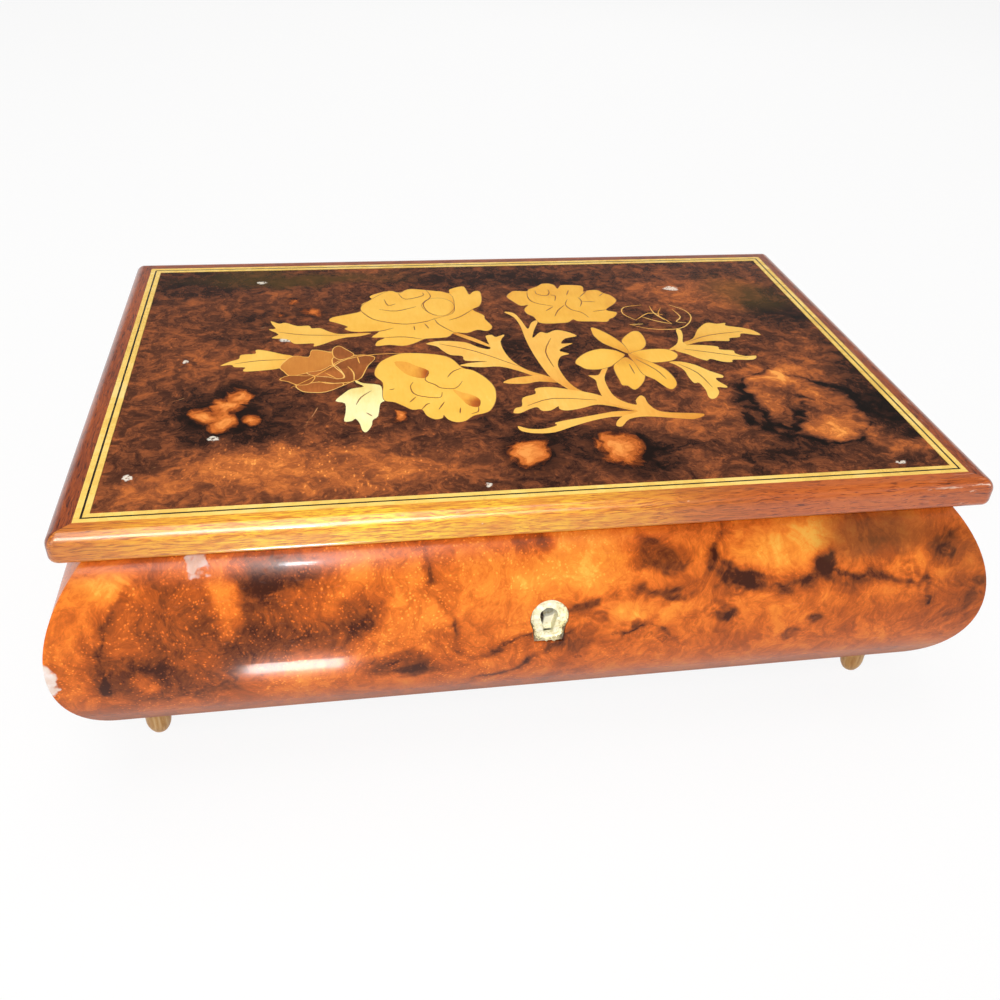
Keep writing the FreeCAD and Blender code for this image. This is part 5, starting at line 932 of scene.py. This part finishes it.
def softForm(bm, low, high, plan):  # sinks each point into the broad face that it is on
    bm.normal_update()
    moves = []
    for v in bm.verts:
        way = max(v.link_faces, key=lambda face: face.calc_area()).normal
        flat = max(range(3), key=lambda i: abs(way[i]))
        inset = min(min(v.co[i] - low[i], high[i] - v.co[i]) for i in range(3) if i != flat)
        sink = max(0, 1 - inset / plan["fade"]) ** 2 * plan["rim"]
        sink += plan["unevenness"] * (0.5 + 0.5 * noise.noise(v.co * plan["waves"]))
        moves.append((v, way * sink))
    for v, move in moves:
        v.co -= move


for name, (node, body, fill) in liningPlan["pads"].items():
    bm = mergedCopy(node)
    low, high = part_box(node)
    roundEdges(bm, liningPlan)
    gridCuts(bm, low, high, liningPlan["grid"])
    softForm(bm, low, high, liningPlan)
    pad = keep(bm, name, body, velvet, smooth=True)
    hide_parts(node)

feltPlan = {
    "grid": 9 * mm, "edge": 0.15 * mm, "edgeSteps": 2, "rim": 0.0, "fade": 1 * mm, "waves": 160,
    "unevenness": 0.12 * mm,
}
bm = mergedCopy("base_felt")
low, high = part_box("base_felt")
cutArea = sum(f.calc_area() for f in bm.faces if f.normal.z < -0.9)  # of the lower side
roundEdges(bm, feltPlan)
gridCuts(bm, low, high, feltPlan["grid"])
softForm(bm, low, high, feltPlan)
feltPiece = keep(bm, "feltSheet", "case", felt, smooth=True)
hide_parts("base_felt")
print("velvet and felt done")

# keyhole plate: a thin ragged rim of pale metal round a sunk floor of the same metal, made brighter with
# painted light
platePlan = {
    "grid": 0.4 * mm, "rim": 1.5 * mm, "sunk": 0.9 * mm, "waves": 900, "ragged": 0.45 * mm,
    # shares of the half sizes: narrowing, rounding, start and slope of the rim, waist and corners
    "taper": 0.22, "rounding": 1.04, "rimStart": 0.35, "rimSlope": 2.2, "waist": 0.16, "waistAt": 0.35,
    "waistReach": 0.25, "corner": 0.42, "cornerFrom": 0.55, "floorFrom": 0.8,
}


def plateMetal(bright):
    def build(place):
        rub = place.noise(700, 5, 0.7)
        pits = place.noise(1900, 3).step(0.56, 0.66)
        tone = 0.50 + 1.1 * (rub - 0.5) - 0.35 * pits + bright
        right = place.axis("X").step(0.0008, 0.003)
        tone = tone - 0.3 * right * place.noise(1300, 3).step(0.40, 0.60)  # dull on its right
        colour = tone.ramp([(0.05, "7c6c50"), (0.35, "c8ba8c"), (0.65, "f4eab8"), (1.0, "fcf9e6")])
        return {"Base_Color": colour, "Roughness": 0.35 + 0.3 * rub,
                "Normal": (rub - pits).bump(0.4, 0.0003)}

    return build


rimMetal = newFinish("rimMetal", plateMetal(0.0), Metallic=0.2)
# the same metal with painted light for the sunk floor
floorMetal = newFinish("floorMetal", plateMetal(0.35), Metallic=0.3)
bm = mergedCopy("keyhole_liner")
low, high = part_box("keyhole_liner")
gridCuts(bm, low, high, platePlan["grid"])
middle, half = (low + high) / 2, (high - low) / 2
bm.normal_update()
plan = platePlan
for v in bm.verts:
    off = Vector((v.co.x - middle.x, v.co.z - middle.z))
    drop = max(0, (middle.z - v.co.z) / half.z)
    side = abs(off.x) / (half.x * (1 - plan["taper"] * drop))
    edge = 1 - max(side, abs(off.y) / half.z, off.length / (half.z * plan["rounding"]))
    inside = min(1, max(0, edge * half.x / plan["rim"] - plan["rimStart"]) * plan["rimSlope"])
    rough = max(0, plan["ragged"] * (0.5 + 0.8 * noise.noise(v.co * plan["waves"])))
    sunk = inside * plan["sunk"] * (v.co.y < middle.y)
    v.co.y = min(high.y, v.co.y + sunk + rough * (v.normal.y < -0.5))
    if inside == 0:  # the outline draws in at the waist and at the lower corners
        pinch = plan["waist"] * math.exp(-((drop - plan["waistAt"]) / plan["waistReach"]) ** 2)
        pinch += plan["corner"] * max(0, drop - plan["cornerFrom"])
        v.co.x -= off.x * pinch
        v.co -= Vector((off.x, 0, off.y)).normalized() * rough * (0.6 + 1.6 * drop)
for face in bm.faces:
    spot = face.calc_center_median()
    face.material_index = 1 if spot.y > low.y + plan["sunk"] * plan["floorFrom"] else 0
plate = keep(bm, "keyholePlate", "case", rimMetal, floorMetal)
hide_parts("keyhole_liner")
print("keyhole plate done")

# camera, floor and lamps
cameraPlan = {
    "place": (-0.04938, -0.26251, 0.21541), "turn": (54.879, -2.503, -9.217), "lens": 35.654,
    "sensor": 36, "clipStart": 0.01,
}
camera = bpy.data.objects.new("camera", bpy.data.cameras.new("camera"))
scene.collection.objects.link(camera)
camera.location = cameraPlan["place"]
camera.rotation_euler = Euler([math.radians(a) for a in cameraPlan["turn"]])
camera.data.lens = cameraPlan["lens"]
camera.data.sensor_width = cameraPlan["sensor"]
camera.data.clip_start = cameraPlan["clipStart"]
scene.camera = camera

floorPlan = {
    "reach": 1.7, "sweep": 0.6, "height": 0.8, "sides": 96, "steps": 8, "whiteShare": 0.9,
    "colour": "f4f2f0", "mottle": "dcd8d4",
}
bm = bmesh.new()
bmesh.ops.create_circle(bm, cap_ends=True, radius=floorPlan["reach"], segments=floorPlan["sides"])
rim = bm.edges[:]
for step in range(1, floorPlan["steps"] + 1):  # the floor sweeps up into a low backdrop
    turn = math.radians(90 * step / floorPlan["steps"])
    reach = floorPlan["reach"] + floorPlan["sweep"] * math.sin(turn)
    grown = bmesh.ops.extrude_edge_only(bm, edges=rim)["geom"]
    rim = [g for g in grown if isinstance(g, bmesh.types.BMEdge)]
    for v in [g for g in grown if isinstance(g, bmesh.types.BMVert)]:
        out = Vector((v.co.x, v.co.y)).normalized() * reach
        v.co = Vector((out.x, out.y, floorPlan["height"] * (1 - math.cos(turn))))
bmesh.ops.recalc_face_normals(bm, faces=bm.faces)
if bm.faces[0].normal.z < 0:
    bmesh.ops.reverse_faces(bm, faces=bm.faces)
floorMesh = bpy.data.meshes.new("floor")
bm.to_mesh(floorMesh)
bm.free()
floor = bpy.data.objects.new("floor", floorMesh)
scene.collection.objects.link(floor)


def seenRays(flow):  # rays that look at the backdrop straight, in a reflection or through glass
    path = flow.node("LightPath")
    rays = {socket.name: Flow(flow.tree, socket) for socket in path.socket.node.outputs}
    return rays["Is Camera Ray"].grow(rays["Is Glossy Ray"]).grow(rays["Is Transmission Ray"])


floorFinish = bpy.data.materials.new("paleFloor")
floorFinish.use_nodes = True
tree = floorFinish.node_tree
tree.nodes.clear()
flow = Flow(tree)
paper = flow.node("TexCoord", None, None, 3).noise(3, 3)
colour = (0.04 * paper).blend(tint(floorPlan["colour"]), tint(floorPlan["mottle"]))
cloth = flow.node("BsdfDiffuse", None, {"Color": colour})
glow = flow.node("Emission", None, {"Color": (1, 1, 1, 1), "Strength": 1.0})
mixed = flow.node("MixShader", None, {0: seenRays(flow) * floorPlan["whiteShare"], 1: cloth, 2: glow})
flow.node("OutputMaterial", None, {"Surface": mixed})
floorMesh.materials.append(floorFinish)

worldPlan = {"low": 0.7, "high": 0.18, "bandFrom": 0.02, "bandTop": 0.20}
world = bpy.data.worlds.new("studio")
world.use_nodes = True
scene.world = world
tree = world.node_tree
tree.nodes.clear()
flow = Flow(tree)
rise = flow.node("TexCoord", None, None, 0).axis("Z")
band = rise.step(worldPlan["bandFrom"], worldPlan["bandTop"])
sky = worldPlan["low"] + (worldPlan["high"] - worldPlan["low"]) * band
ground = flow.node("Background", None, {"Color": (1, 1, 1, 1), "Strength": sky})
flow.node("OutputWorld", None, {"Surface": ground})

lampPlan = {  # place, aim, size, power in watts
    "overhead": ((-0.15, 0.05, 1.1), (0, 0, 0.05), (0.9, 0.7), 7.0),
    "flash": ((-0.074, -0.290, 0.245), (-0.01, 0, 0.05), (0.016, 0.012), 0.28),
    "frontSoft": ((-0.09, -0.60, 0.76), (-0.05, -0.08, 0.07), (0.66, 0.2), 1.5),
    "leftFill": ((-0.9, -0.7, 0.5), (0, 0, 0.05), (0.5, 0.5), 1.8),
    "rightFill": ((0.9, -0.5, 0.6), (0, 0, 0.05), (0.6, 0.6), 1.8),
    "edgeSheen": ((-0.22, -0.60, 0.76), (-0.07, -0.08, 0.07), (0.62, 0.34), 8.0),
    "backFill": ((0.3, 1.1, 0.6), (0, 0, 0.05), (0.6, 0.4), 2.0),
    "tableGlint": ((-0.066, -0.114, 0.003), (-0.066, -0.114, 1), (0.028, 0.012), 0.07),
}
for name, (spot, aim, size, power) in lampPlan.items():
    light = bpy.data.lights.new(name, "AREA")
    light.shape = "RECTANGLE"
    light.size, light.size_y = size
    light.energy = power
    lamp = bpy.data.objects.new(name, light)
    lamp.location = spot
    lamp.rotation_euler = (Vector(aim) - Vector(spot)).to_track_quat("-Z", "Y").to_euler()
    lamp.visible_camera = False
    lamp.visible_diffuse = name not in ("tableGlint", "edgeSheen")  # these only show in the gloss
    lamp.visible_glossy = name != "backFill"
    scene.collection.objects.link(lamp)
scene.view_settings.view_transform = "Standard"
print("camera and lamps done")
